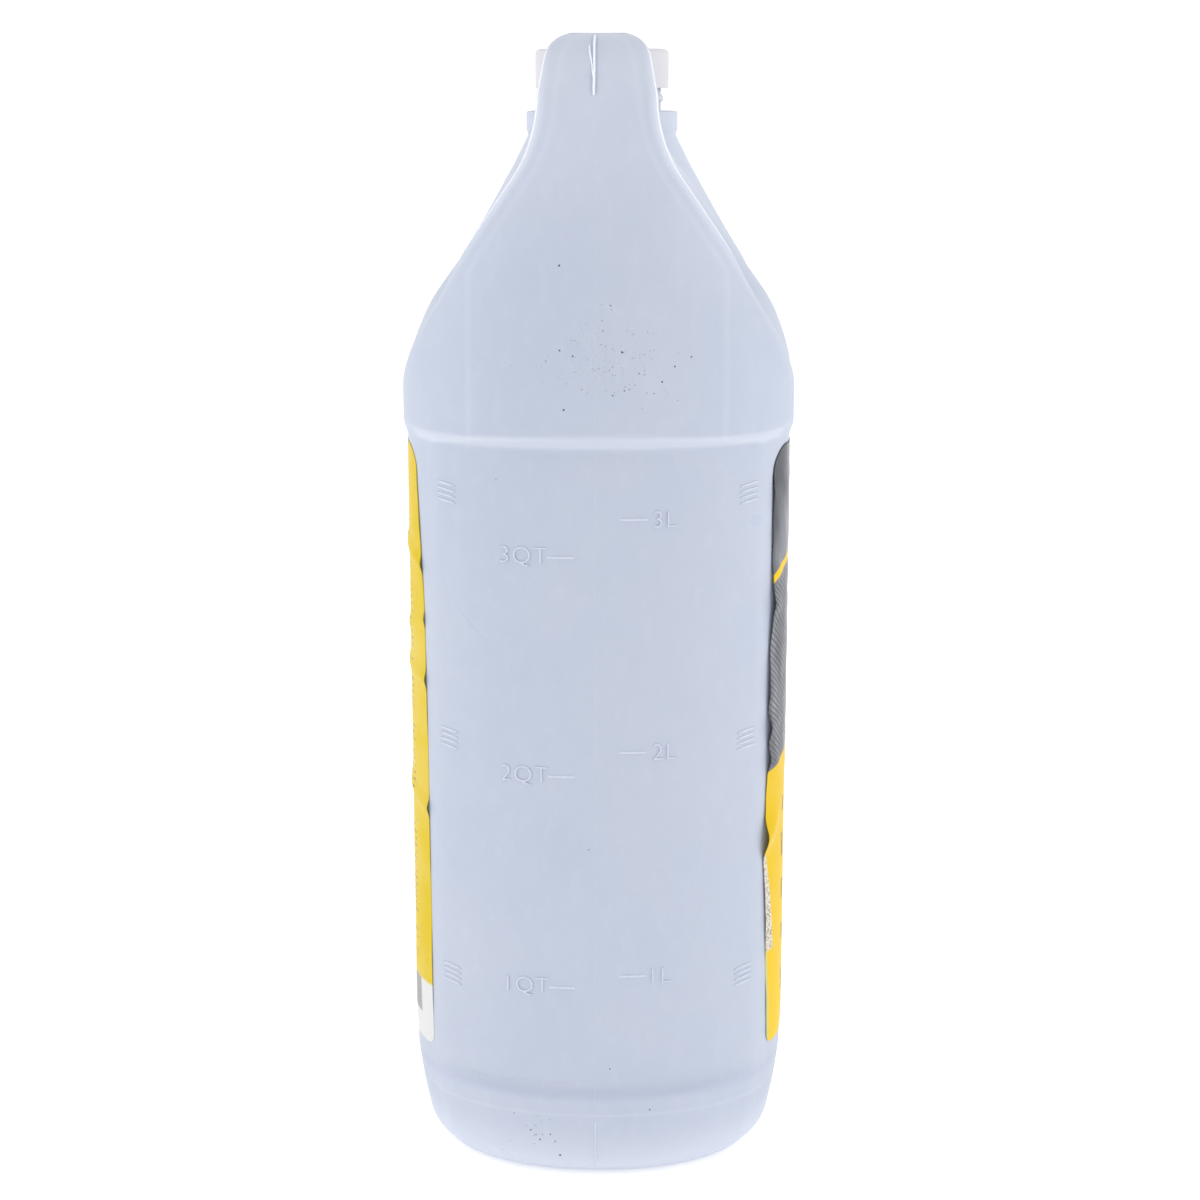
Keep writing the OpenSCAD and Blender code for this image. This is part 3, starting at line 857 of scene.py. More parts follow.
def front_film(colours):
    """Grey top with fine slanted stripes, a thin arc and a yellow lower half with plain bars."""
    finish = Finish("front_film")
    u, v, _ = finish.split(finish.uv())
    place = finish.place()
    rim = finish.field("from_rim")
    normal, rough = film_base(finish)
    belly = u * (1 - u)
    sheen = finish.noise(finish.scaled(place, (1.0, 1.0, 0.30)), 110.0, 3.0, 0.6)
    grey = finish.mix(sheen.over(0.38, 0.72), colours.grey[:], tuple(min(1, c * 2.4) for c in colours.grey))
    grey = finish.mix(u.near(0.15, 0.05, 0.10) * 0.5, grey, (0.36, 0.36, 0.39))
    grey = finish.mix((1 - u.over(0.02, 0.10)) * v.over(0.70, 0.90) * 0.6, grey, PRINT_BLACK)
    stripes = ((v + 0.70 * u) * 101.0).part().near(0.5, 0.16, 0.16)
    low_bow = v - 0.463 - 0.30 * belly
    high_bow = v - 0.785 - 0.35 * belly
    striped = low_bow.over(0.006, 0.010) * (1 - high_bow.over(-0.02, -0.005))
    grey = finish.mix(stripes * striped * 0.75, grey, PRINT_BLACK)
    yellow = finish.mix(v.over(0.0, 0.4), colours.yellow[:], tuple(c * 0.92 for c in colours.yellow))
    base = finish.mix(low_bow.over(-0.002, 0.002), yellow, grey)
    arc = high_bow.near(0.0, 0.0065, 0.003)
    base = finish.mix(arc, base, colours.yellow[:])
    panel = u.near(0.5, 0.30, 0.004) * v.near(0.375, 0.050, 0.003)
    base = finish.mix(panel, base, colours.white[:])
    words = finish.noise(finish.scaled(finish.uv(), (70.0, 62.0, 1.0), (0, 3, 0)), 1.0, 1.0, 0.4).over(0.44, 0.48)
    bars = (v / 0.0161).part().near(0.5, 0.20, 0.08)
    base = finish.mix(panel * bars * words * 0.85, base, colours.brown[:])
    rows = bars * v.near(0.165, 0.1, 0.002) * u.near(0.5, 0.34, 0.004)
    base = finish.mix(rows * words * 0.7, base, colours.brown[:])
    blocks = ((v - 0.03) / 0.082).part().near(0.5, 0.27, 0.04) * u.near(0.088, 0.009, 0.002) * v.near(0.24, 0.19, 0.004)
    blocks = blocks * finish.noise(finish.scaled(finish.uv(), (0.0, 40.0, 0.0)), 1.0, 1.0, 0.5).over(0.40, 0.52)
    base = finish.mix(blocks * 0.75, base, (0.20, 0.12, 0.05))
    patch = finish.noise(place, 1300.0, 3.0, 0.7)
    strip = (1 - (u - 0.006 - (0.32 - v) * 0.11).over(0.0, 0.004)) * v.near(0.235, 0.085, 0.008)
    base = finish.mix(strip, base, (0.68, 0.64, 0.55))
    base = finish.mix(strip * patch.over(0.50, 0.60), base, (0.30, 0.22, 0.12))
    green = (1 - u.over(0.006, 0.010)) * (1 - v.over(0.12, 0.17))
    base = finish.mix(green * 0.7, base, (0.50, 0.55, 0.26))
    dark_rim = (1 - rim.over(0.25, 0.7)) * v.over(0.86, 0.93)
    base = finish.mix(dark_rim * 0.9, base, (0.02, 0.02, 0.025))
    metal = low_bow.over(-0.002, 0.002) * (1 - arc) * 0.25
    return finish.surface(color=base, rough=rough, metal=metal, normal=normal, spec=0.12)


def back_film(colours):
    """Yellow with rows of tiny strokes, and a white foot with plain bars."""
    finish = Finish("back_film")
    u, v, _ = finish.split(finish.uv())
    place = finish.place()
    rim = finish.field("from_rim")
    normal, rough = film_base(finish)
    cloud = finish.noise(place, 70.0, 3.0, 0.6)
    pale_and_highlight = (0.88, 0.78, 0.52)
    deep = tuple(c * k for c, k in zip(colours.yellow, (0.82, 0.90, 0.5)))
    base = finish.mix(cloud.over(0.4, 0.7) * 0.10, deep, pale_and_highlight)
    # Painted highlight: a pale upright band about a fifth of the way in from the label's handle-side edge.
    base = finish.mix(u.near(0.20, 0.05, 0.14) * 0.5, base, pale_and_highlight)
    rows = (v / 0.0115).part().near(0.5, 0.16, 0.1)
    words = finish.noise(finish.scaled(finish.uv(), (95.0, 87.0, 1.0), (0, 0, 7)), 1.0, 1.0, 0.5).over(0.46, 0.52)
    lines = finish.noise(finish.scaled(finish.uv(), (3.0, 30.0, 1.0)), 1.0, 0.0, 0.5).over(0.38, 0.42)
    block = u.near(0.5, 0.44, 0.004) * v.near(0.53, 0.41, 0.004)
    gap = 1 - v.near(0.62, 0.012, 0.004).at_least(v.near(0.83, 0.010, 0.004))
    base = finish.mix(rows * words * lines * block * gap * 0.7, base, (0.12, 0.12, 0.13))
    foot = 1 - v.over(0.086, 0.092)
    base = finish.mix(foot, base, tuple(c * 0.78 for c in colours.white))
    code = u.near(0.105, 0.060, 0.003) * v.near(0.062, 0.034, 0.003).at_most(foot)
    bars = finish.noise(finish.scaled(finish.uv(), (330.0, 0.0, 0.0)), 1.0, 0.0, 0.5).over(0.42, 0.46)
    base = finish.mix(code * bars * 0.8, base, (0.10, 0.10, 0.11))
    small = rows * u.near(0.60, 0.32, 0.004) * v.near(0.05, 0.030, 0.003)
    base = finish.mix(small * words * 0.7, base, (0.15, 0.15, 0.16))
    dark_rim = (1 - rim.over(0.15, 0.5)) * v.over(0.60, 0.90)
    base = finish.mix(dark_rim * 0.6, base, (0.16, 0.13, 0.02))
    return finish.surface(color=base, rough=rough, normal=normal, spec=0.12)


def floor_white(shade, glow):
    """White floor under the jug, its glow a little dimmed close to it as a painted contact shadow."""
    finish = Finish("studio_floor_white")
    place = finish.place()
    x, y, _ = finish.split(place)
    dust = finish.noise(place, 3.0, 2.0, 0.5)
    base = finish.mix(dust.over(0.3, 0.7) * 0.2, shade, tuple(min(1, c * 1.02) for c in shade))
    # Painted contact shadow: the floor's glow is a little dimmer within about 0.4 m of the jug.
    contact_shadow_fade = ((x * x + y * y) ** 0.5).over(0.10, 0.42)
    light = finish.mix(contact_shadow_fade, (0.92, 0.92, 0.92), (1.0, 1.0, 1.0))
    finish.material.cycles.emission_sampling = "NONE"
    return finish.surface(color=base, rough=0.6, spec=0.2, glow=light, glow_strength=glow)


def sweep_white(strength):
    """Evenly glowing white backdrop that is dimmer on the side behind the camera."""
    finish = Finish("studio_sweep_white")
    x, _, _ = finish.split(finish.place())
    light = finish.mix(x.over(-1.6, -0.4), (0.78, 0.785, 0.80), (1.0, 1.0, 1.0))
    finish.material.cycles.emission_sampling = "NONE"
    return finish.surface(color=(0.0, 0.0, 0.0), rough=1.0, spec=0.0, glow=light, glow_strength=strength)


def jug_form():
    scene = bpy.context.scene
    if "form" not in _kept:
        _kept["form"] = JugForm(scene.jug_sizes, scene.neck_sizes)
    return _kept["form"]


class JUG_OT_shell(bpy.types.Operator):
    """Build the blown shell with its handle, shoulder, collar, neck and hollow"""

    bl_idname = "oiljug.shell"
    bl_label = "Shell"

    def execute(self, context):
        scene = context.scene
        jug, neck = scene.jug_sizes, scene.neck_sizes
        form = jug_form()
        planes = lambda *spans: np.concatenate([np.arange(a, b, s) for a, b, s in spans])
        xs = planes((-90.7, -56, 0.9), (-56, 92, 1.8))
        half = np.concatenate([np.arange(0.6, 9.5, 1.2), np.arange(10.2, 54.5, 0.9)])
        ys = np.concatenate([-half[::-1], half])
        zs = planes((-1.4, 36, 1.45), (36, 190, 6.0), (190, 206, 0.9), (206, 292, 1.35), (292.5, 305, 0.65))
        points, quads = net(form.outer, xs, ys, zs)
        points = form.settle(points, 0.0, 3)
        points = relax(form, points, quads, 2)
        shell = put_mesh("jug_shell", points * MM, quads)
        cz, cr = form.collar_z, form.collar_r
        nr, rim = neck.radius / MM, form.collar_z + neck.height / MM
        top = cz + neck.collar_height / MM
        bead = cz + 12.2
        neck_solid = turned(
            "neck",
            [(0, cz - 3), (cr - 1.2, cz - 3), (cr - 0.35, cz - 0.4), (cr, cz + 0.1), (cr, top - 0.6),
             (cr - 0.18, top - 0.18), (cr - 0.6, top), (nr + 0.5, top), (nr + 0.12, top + 0.15), (nr, top + 0.6),
             (nr, bead - 4.1), (nr + 0.2, bead - 3.8), (nr + 0.62, bead - 3.4), (nr + 0.7, bead - 3.1),
             (nr + 0.7, bead - 2.5), (nr + 0.62, bead - 2.2), (nr + 0.2, bead - 1.8), (nr, bead - 1.5),
             (nr, rim - 0.6), (nr - 0.18, rim - 0.18), (nr - 0.6, rim), (0, rim)],
            neck.place / MM,
        )  # fmt: skip
        wall = jug.wall / MM
        pace = 4.3
        coarse = [np.arange(-91.0, 93, pace), np.arange(-55.0, 56, pace), np.arange(-2.0, 306, pace)]
        hollow_field = lambda x, y, z: form.outer(x, y, z) + wall
        inner, inner_quads = net(hollow_field, *coarse)
        inner = form.settle(inner, -wall, 5)
        hollow = put_mesh("hollow", inner * MM, inner_quads)
        br = neck.bore_radius / MM
        bore = turned(
            "bore", [(0, cz - 6), (br + 3.2, cz - 6), (br + 1.6, cz), (br, cz + 3), (br, rim - 0.5),
                     (br + 0.5, rim + 0.02), (br + 0.5, rim + 1), (0, rim + 1)],
            neck.place / MM,
        )  # fmt: skip
        for piece in (shell, hollow):
            point_out(piece)
        cut_or_join(shell, neck_solid, "UNION")
        cut_or_join(shell, hollow, "DIFFERENCE")
        cut_or_join(shell, bore, "DIFFERENCE")
        mesh = shell.data
        mesh.shade_smooth()
        mesh.set_sharp_from_angle(angle=math.radians(38))
        self.shade_edges(mesh, form)
        finish_piece(shell, "bottle", "bottle_plastic", _kept["plastic"], "bottle")
        return {"FINISHED"}

    @staticmethod
    def shade_edges(mesh, form):
        """Writes how sharply the skin turns at each point, and how far it lies from the handle face's edge; the shell's
        material paints highlights from these.
        """
        points = mesh_points(mesh) / MM
        step = 1.4
        centre = form.at(points)
        bend = np.zeros(len(points))
        for k in range(3):
            move = np.zeros(3)
            move[k] = step
            bend += form.at(points + move) + form.at(points - move) - 2 * centre
        bend /= step * step
        x, y, z = points.T
        high = ease((z - form.ledge_z + 12) / 8) * (1 - ease((z - form.top + 6) / 4))
        set_values(mesh, "edge", np.clip((bend - 0.08) / 0.40, 0.0, 1.0) * high)
        ex, ey = form.edge_point(np.clip(z, form.ledge_z, form.top - 0.01))
        far = (z < form.ledge_z - 1) | (x > ex + 14)
        line = np.hypot(x - ex, np.abs(y) - ey) * np.sign(np.abs(y) - ey)
        bevel = np.abs(y) - np.minimum(ey - 4.4, 33.0)
        set_values(mesh, "from_edge", np.where(far, 9.0, np.clip(line, -9, 9)))
        set_values(mesh, "from_bevel", np.where(far | (x > ex + 4), 9.0, np.clip(bevel, -9, 9)))


def raised(points, faces, form, outline, height, sink=0.35):
    """Adds one low pad over an outline grid of (y, z) in millimetres, with its crown at height."""
    y, z, crown = outline
    rows, cols = y.shape
    x = form.face_x(y, z)
    first = len(points)
    for depth in (-height * crown, np.full(y.shape, sink)):
        for a, b, c in zip((x + depth).ravel(), y.ravel(), z.ravel()):
            points.append((a * MM, b * MM, c * MM))
    n = rows * cols
    cell = lambda i, j, k: first + k * n + i * cols + j
    for i in range(rows - 1):
        for j in range(cols - 1):
            faces.append((cell(i, j, 0), cell(i, j + 1, 0), cell(i + 1, j + 1, 0), cell(i + 1, j, 0)))
            faces.append((cell(i, j, 1), cell(i + 1, j, 1), cell(i + 1, j + 1, 1), cell(i, j + 1, 1)))
    border = [(i, 0) for i in range(rows)] + [(rows - 1, j) for j in range(1, cols)]
    border += [(i, cols - 1) for i in range(rows - 2, -1, -1)] + [(0, j) for j in range(cols - 2, 0, -1)]
    for (a, b), (c, d) in zip(border, border[1:] + border[:1]):
        faces.append((cell(a, b, 0), cell(c, d, 0), cell(c, d, 1), cell(a, b, 1)))


class JUG_OT_marks(bpy.types.Operator):
    """Build the raised litre and quart marks with their figures"""

    bl_idname = "oiljug.marks"
    bl_label = "Volume marks"

    def execute(self, context):
        sizes = context.scene.mark_sizes
        form = jug_form()
        points, faces = [], []
        out = sizes.stand_out / MM
        dash_y, litre_y, quart_y = 9.4, -14.6, 13.0
        rows = []
        for n in (1, 2, 3):
            rows.append((-1, (sizes.first_litre + (n - 1) * sizes.litre) / MM, f"{n}L"))
            rows.append((1, (sizes.first_litre + (n * LITRES_PER_QUART - 1) * sizes.litre) / MM, f"{n}QT"))
        u, v = np.meshgrid(np.linspace(-1, 1, 15), np.linspace(-1, 1, 7), indexing="ij")
        crown = np.clip(1 - np.abs(v) ** 3, 0, 1) * np.clip(1 - np.abs(u) ** 12, 0, 1)
        for side, z, _ in rows:
            grid = (side * dash_y + u * sizes.dash / MM / 2, z + v * sizes.line / MM / 2, crown)
            raised(points, faces, form, grid, out)
        dashes = put_mesh("volume_dashes", points, faces, angle=50)
        point_out(dashes)
        finish_piece(dashes, "bottle", "bottle_plastic", _kept["mark"])
        made = []
        for side, z, words in rows:
            curve = bpy.data.curves.new("figures", "FONT")
            curve.body = words
            curve.size = sizes.letter / 0.72
            curve.extrude = 0.0003
            curve.bevel_depth = 0.00008
            curve.offset = -0.00019
            curve.bevel_resolution = 1
            curve.resolution_u = 4
            curve.space_character = 1.08
            curve.align_y = "CENTER"
            curve.align_x = "LEFT"
            text = bpy.data.objects.new("figures", curve)
            context.scene.collection.objects.link(text)
            bpy.context.view_layer.update()
            deps = context.evaluated_depsgraph_get()
            mesh = bpy.data.meshes.new_from_object(text.evaluated_get(deps), depsgraph=deps)
            bpy.data.objects.remove(text)
            bpy.data.curves.remove(curve)
            bm = bmesh.new()
            bm.from_mesh(mesh)
            bmesh.ops.remove_doubles(bm, verts=bm.verts, dist=1e-7)
            bmesh.ops.triangulate(bm, faces=bm.faces)
            bm.to_mesh(mesh)
            bm.free()
            co = mesh_points(mesh) / MM
            width = co[:, 0].max() - co[:, 0].min()
            co[:, 0] -= co[:, 0].min()
            start = litre_y if side < 0 else quart_y + width
            y = start - co[:, 0]
            zz = z + co[:, 1] - (co[:, 1].max() + co[:, 1].min()) / 2
            x = form.face_x(y, zz) - co[:, 2] - (out - 0.38)
            mesh.vertices.foreach_set("co", (np.stack([x, y, zz], 1) * MM).ravel())
            made.append(mesh)
        joined = bmesh.new()
        for mesh in made:
            joined.from_mesh(mesh)
            bpy.data.meshes.remove(mesh)
        mesh = bpy.data.meshes.new("volume_figures")
        joined.to_mesh(mesh)
        joined.free()
        figures = bpy.data.objects.new("volume_figures", mesh)
        context.scene.collection.objects.link(figures)
        point_out(figures)
        mesh.shade_smooth()
        mesh.set_sharp_from_angle(angle=math.radians(35))
        finish_piece(figures, "bottle", "bottle_plastic", _kept["mark"])
        return {"FINISHED"}


class Tree:
    """Builds one Geometry Nodes tree."""

    def __init__(self, name, inputs):
        self.tree = bpy.data.node_groups.new(name, "GeometryNodeTree")
        face = self.tree.interface
        face.new_socket("Geometry", in_out="INPUT", socket_type="NodeSocketGeometry")
        self.ids = {}
        for label, kind, default in inputs:
            socket = face.new_socket(label, in_out="INPUT", socket_type=kind)
            if default is not None:
                socket.default_value = default
            self.ids[label] = socket.identifier
        face.new_socket("Geometry", in_out="OUTPUT", socket_type="NodeSocketGeometry")
        self.start = self.tree.nodes.new("NodeGroupInput")
        self.end = self.tree.nodes.new("NodeGroupOutput")

    def node(self, kind, settings=None, sockets=None):
        node = self.tree.nodes.new(kind)
        for name, value in (settings or {}).items():
            setattr(node, name, value)
        for key, value in (sockets or {}).items():
            if isinstance(value, bpy.types.NodeSocket):
                self.tree.links.new(value, node.inputs[key])
            else:
                node.inputs[key].default_value = value
        return node

    def close(self, socket, material):
        real = self.node("GeometryNodeRealizeInstances", None, {0: socket})
        done = self.node("GeometryNodeSetMaterial", None, {"Geometry": real.outputs[0], "Material": material})
        self.tree.links.new(done.outputs[0], self.end.inputs[0])

    def on(self, thing, values):
        mod = thing.modifiers.new(self.tree.name, "NODES")
        mod.node_group = self.tree
        for label, value in values.items():
            mod[self.ids[label]] = value
        bpy.context.view_layer.update()
        applied(thing)


class JUG_OT_ribs(bpy.types.Operator):
    """Build the groups of small ribs beside the volume marks"""

    bl_idname = "oiljug.ribs"
    bl_label = "Small ribs"

    def execute(self, context):
        sizes = context.scene.mark_sizes
        form = jug_form()
        tree = Tree(
            "small_ribs",
            [("Length", "NodeSocketFloat", 0.004), ("Width", "NodeSocketFloat", 0.0007),
             ("Out", "NodeSocketFloat", 0.0008)],
        )  # fmt: skip
        given = tree.start.outputs
        size = tree.node("ShaderNodeCombineXYZ", None, {"X": given["Out"], "Y": given["Length"], "Z": given["Width"]})
        bar = tree.node("GeometryNodeMeshUVSphere", None, {"Segments": 12, "Rings": 8, "Radius": 0.56})
        turn = tree.node("GeometryNodeInputNamedAttribute", {"data_type": "FLOAT"}, {"Name": "turn"})
        tilt = tree.node("GeometryNodeInputNamedAttribute", {"data_type": "FLOAT"}, {"Name": "tilt"})
        spin = tree.node("ShaderNodeCombineXYZ", None, {"X": tilt.outputs["Attribute"], "Z": turn.outputs["Attribute"]})
        rotation = tree.node("FunctionNodeEulerToRotation", None, {0: spin.outputs[0]})
        placed = tree.node(
            "GeometryNodeInstanceOnPoints", None,
            {"Points": given["Geometry"], "Instance": bar.outputs["Mesh"], "Rotation": rotation.outputs[0],
             "Scale": size.outputs[0]},
        )  # fmt: skip
        tree.close(placed.outputs[0], _kept["mark"])
        rib_y, group_rise, below_mark, tilt_out = 39.4, sizes.litre * 1.069, 5.4, 0.16
        places = []
        for n in (1, 2, 3):
            for side in (-1, 1):
                for i in range(sizes.ribs):
                    z = (sizes.first_litre + (n - 1) * group_rise) / MM - below_mark + i * sizes.rib_pitch / MM
                    places.append((side * rib_y, z))
        y, z = np.array(places).T
        x = form.face_x(y, z)
        turn_values = -np.arctan((form.face_x(y + 1, z) - form.face_x(y - 1, z)) / 2)
        ribs = put_mesh("small_ribs", np.stack([x, y, z], 1) * MM, [])
        set_values(ribs.data, "turn", turn_values)
        set_values(ribs.data, "tilt", np.sign(y) * tilt_out)
        tree.on(ribs, {"Length": sizes.rib, "Width": 0.0006, "Out": 2 * sizes.stand_out})
        ribs.data.shade_smooth()
        finish_piece(ribs, "bottle", "bottle_plastic", _kept["mark"])
        return {"FINISHED"}


class JUG_OT_specks(bpy.types.Operator):
    """Scatter a few specks of dirt over the handle side"""

    bl_idname = "oiljug.specks"
    bl_label = "Dirt specks"

    def execute(self, context):
        form = jug_form()
        # Seen specks as y, z and share of the full size; finer ones are drawn at random round them.
        places = np.array([
            (9.4, 245.0, 1.0), (-3.4, 235.1, 0.7), (-6.3, 223.4, 1.0), (6.1, 222.4, 0.9), (9.4, 223.8, 0.8),
            (-19.6, 219.6, 0.9), (-23.8, 221.9, 0.9), (-16.4, 215.8, 0.9), (8.4, 208.8, 1.0), (-4.0, 212.5, 0.7),
            (-6.9, 213.7, 0.7), (-8.2, 214.0, 0.6), (-1.5, 228.8, 0.6), (-14.4, 212.9, 0.6), (-10.6, 218.0, 0.7),
            (12.9, 221.1, 0.6), (17.9, 12.9, 0.9), (15.4, 10.4, 0.9), (16.5, 11.7, 0.7), (10.0, 6.3, 1.0),
            (-3.4, 30.4, 0.7), (-14.1, 19.3, 0.8), (12.6, 12.2, 0.7), (2.2, 92.0, 0.6), (26.0, 190.0, 0.5),
        ])  # fmt: skip
        tree = Tree("dirt_specks", [("Size", "NodeSocketFloat", 0.00028), ("Height", "NodeSocketFloat", 0.00006)])
        given = tree.start.outputs
        grain = tree.node("GeometryNodeMeshUVSphere", None, {"Segments": 10, "Rings": 6, "Radius": 1.0})
        share = tree.node("GeometryNodeInputNamedAttribute", {"data_type": "FLOAT"}, {"Name": "share"})
        across = tree.node(
            "ShaderNodeMath", {"operation": "MULTIPLY"}, {0: share.outputs["Attribute"], 1: given["Size"]}
        )
        size = tree.node(
            "ShaderNodeCombineXYZ", None, {"X": given["Height"], "Y": across.outputs[0], "Z": across.outputs[0]}
        )
        placed = tree.node(
            "GeometryNodeInstanceOnPoints", None,
            {"Points": given["Geometry"], "Instance": grain.outputs["Mesh"], "Scale": size.outputs[0]},
        )  # fmt: skip
        tree.close(placed.outputs[0], _kept["dirt"])
        rng = np.random.default_rng(5)
        fine = np.stack([rng.normal(-1.5, 9.5, 60), rng.normal(222.0, 7.0, 60), rng.uniform(0.26, 0.46, 60)], 1)
        foot = np.stack([rng.normal(15.0, 4.0, 16), rng.normal(12.0, 3.0, 16), rng.uniform(0.28, 0.5, 16)], 1)
        places = np.concatenate([places, fine[np.abs(fine[:, 1] - 223) < 18], foot])
        y, z, share_values = places.T
        specks = put_mesh("dirt_specks", np.stack([form.face_x(y, z), y, z], 1) * MM, [])
        set_values(specks.data, "share", share_values)
        tree.on(specks, {"Size": 0.00028, "Height": 0.00006})
        finish_piece(specks, "bottle", "bottle_plastic", _kept["dirt"])
        return {"FINISHED"}


class JUG_OT_flash(bpy.types.Operator):
    """Build the ragged flash on the handle and at both ends of the base"""

    bl_idname = "oiljug.flash"
    bl_label = "Trimmed flash"

    def execute(self, context):
        form = jug_form()
        out = context.scene.jug_sizes.flash_out / MM
        rng = np.random.default_rng(12)
        handle = self.outline(form, form.top - 15.4, form.top - 0.6)
        torn = self.outline(form, form.top - 10.8, form.top - 3.2)
        foot = self.outline(form, 1.6, 16.0)
        for name, path, low_y, high_y, half_t, share, material in (
            ("handle_flash", handle, 0.8, 0.8, 0.28, 1.1, _kept["flash"]),
            ("torn_flash", torn, 0.95, 2.1, 0.22, 0.6, _kept["flash"]),
            ("base_flash", foot, 0.5, 0.4, 0.17, 0.35, _kept["mark"]),
            ("spout_side_flash", foot * (-1.0, 1.0), 0.5, 0.4, 0.17, 0.35, _kept["mark"]),
        ):
            self.ridge(name, path, low_y, high_y, half_t, out * share, rng, material)
        return {"FINISHED"}

    @staticmethod
    def outline(form, low, high, count=70):
        z = np.linspace(low, high, count)
        x = form.face_x(np.zeros(count), z)
        return np.stack([x, z], 1)

    @staticmethod
    def ridge(name, path, low_y, high_y, half_t, out, rng, material):
        n = len(path)
        tangent = np.gradient(path, axis=0)
        tangent /= np.linalg.norm(tangent, axis=1)[:, None]
        normal = np.stack([-tangent[:, 1], tangent[:, 0]], 1)
        if normal[n // 2, 0] * path[n // 2, 0] < 0:
            normal = -normal
        s = np.linspace(0, 1, n)
        fade = np.clip(np.minimum(s, 1 - s) * 9, 0.0, 1.0)
        ragged, stray = (np.convolve(rng.random(n + 4), np.ones(5) / 5, "valid") for _ in range(2))
        height = out * fade * (0.55 + 0.75 * ragged)
        drift = low_y + (high_y - low_y) * s
        drift = drift + 0.05 * np.sin(s * 9 + 1.0) + 0.08 * (stray - 0.5)
        profile = [
            (-1.0, -0.6), (-1.0, 0.1), (-0.62, 0.55), (-0.35, 0.95), (0.0, 1.0), (0.35, 0.85), (0.7, 0.5),
            (1.0, 0.1), (1.0, -0.6),
        ]  # fmt: skip
        points, faces = [], []
        for i in range(n):
            for t, h in profile:
                rise = h * height[i] if h > 0 else h
                x, z = path[i] + normal[i] * rise
                width = half_t * (0.75 + 0.25 * fade[i])
                points.append((x * MM, (drift[i] + t * width) * MM, z * MM))
        m = len(profile)
        for i in range(n - 1):
            for j in range(m):
                k = (j + 1) % m
                faces.append((i * m + j, i * m + k, (i + 1) * m + k, (i + 1) * m + j))
        faces.append(tuple(range(m))[::-1])
        faces.append(tuple((n - 1) * m + j for j in range(m)))
        thing = put_mesh(name, points, faces)
        point_out(thing)
        thing.data.set_sharp_from_angle(angle=math.radians(60))
        finish_piece(thing, "bottle", "bottle_plastic", material)


def thread(name, radius, low, turns, pitch, out, material):
    """Builds a screw thread with Geometry Nodes: a helix with a rounded ridge that fades at both ends."""
    tree = Tree(
        name,
        [("Radius", "NodeSocketFloat", 0.0174), ("Turns", "NodeSocketFloat", 2.5), ("Pitch", "NodeSocketFloat", 0.0042),
         ("Depth", "NodeSocketFloat", 0.0011), ("Low", "NodeSocketVector", (0.0, 0.0, 0.0))],
    )  # fmt: skip
    given = tree.start.outputs
    rise = tree.node("ShaderNodeMath", {"operation": "MULTIPLY"}, {0: given["Turns"], 1: given["Pitch"]})
    helix = tree.node(
        "GeometryNodeCurveSpiral", None,
        {"Resolution": 56, "Rotations": given["Turns"], "Start Radius": given["Radius"], "End Radius": given["Radius"],
         "Height": rise.outputs[0]},
    )  # fmt: skip
    along = tree.node("GeometryNodeSplineParameter")
    ends = tree.node("ShaderNodeMath", {"operation": "PINGPONG"}, {0: along.outputs["Factor"], 1: 0.5})
    fade = tree.node(
        "ShaderNodeMapRange", None,
        {"Value": ends.outputs[0], "From Min": 0.0, "From Max": 0.05, "To Min": 0.15, "To Max": 1.0},
    )  # fmt: skip
    deep = tree.node("ShaderNodeMath", {"operation": "MULTIPLY"}, {0: fade.outputs[0], 1: given["Depth"]})
    ring = tree.node("GeometryNodeCurvePrimitiveCircle", None, {"Resolution": 10, "Radius": 1.0})
    solid = tree.node(
        "GeometryNodeCurveToMesh", None,
        {"Curve": helix.outputs[0], "Profile Curve": ring.outputs[0], "Scale": deep.outputs[0], "Fill Caps": True},
    )  # fmt: skip
    moved = tree.node("GeometryNodeTransform", None, {"Geometry": solid.outputs[0], "Translation": given["Low"]})
    tree.close(moved.outputs[0], material)
    thing = put_mesh(name, [(0, 0, 0)], [])
    tree.on(thing, {"Radius": radius, "Turns": turns, "Pitch": pitch, "Depth": out, "Low": low})
    point_out(thing)
    thing.data.shade_smooth()
    return thing


class JUG_OT_neck_thread(bpy.types.Operator):
    """Build the screw thread round the neck"""

    bl_idname = "oiljug.neck_thread"
    bl_label = "Neck thread"

    def execute(self, context):
        neck = context.scene.neck_sizes
        form = jug_form()
        rim = form.collar_z * MM + neck.height
        turns = 1.6
        low = (neck.place, 0.0, rim - 0.0018 - turns * neck.pitch)
        ridge = thread(
            "neck_thread", neck.radius - 0.0001, low, turns, neck.pitch, neck.thread_out, _kept["plastic"]
        )
        finish_piece(ridge, "bottle", "bottle_plastic", _kept["plastic"])
        return {"FINISHED"}


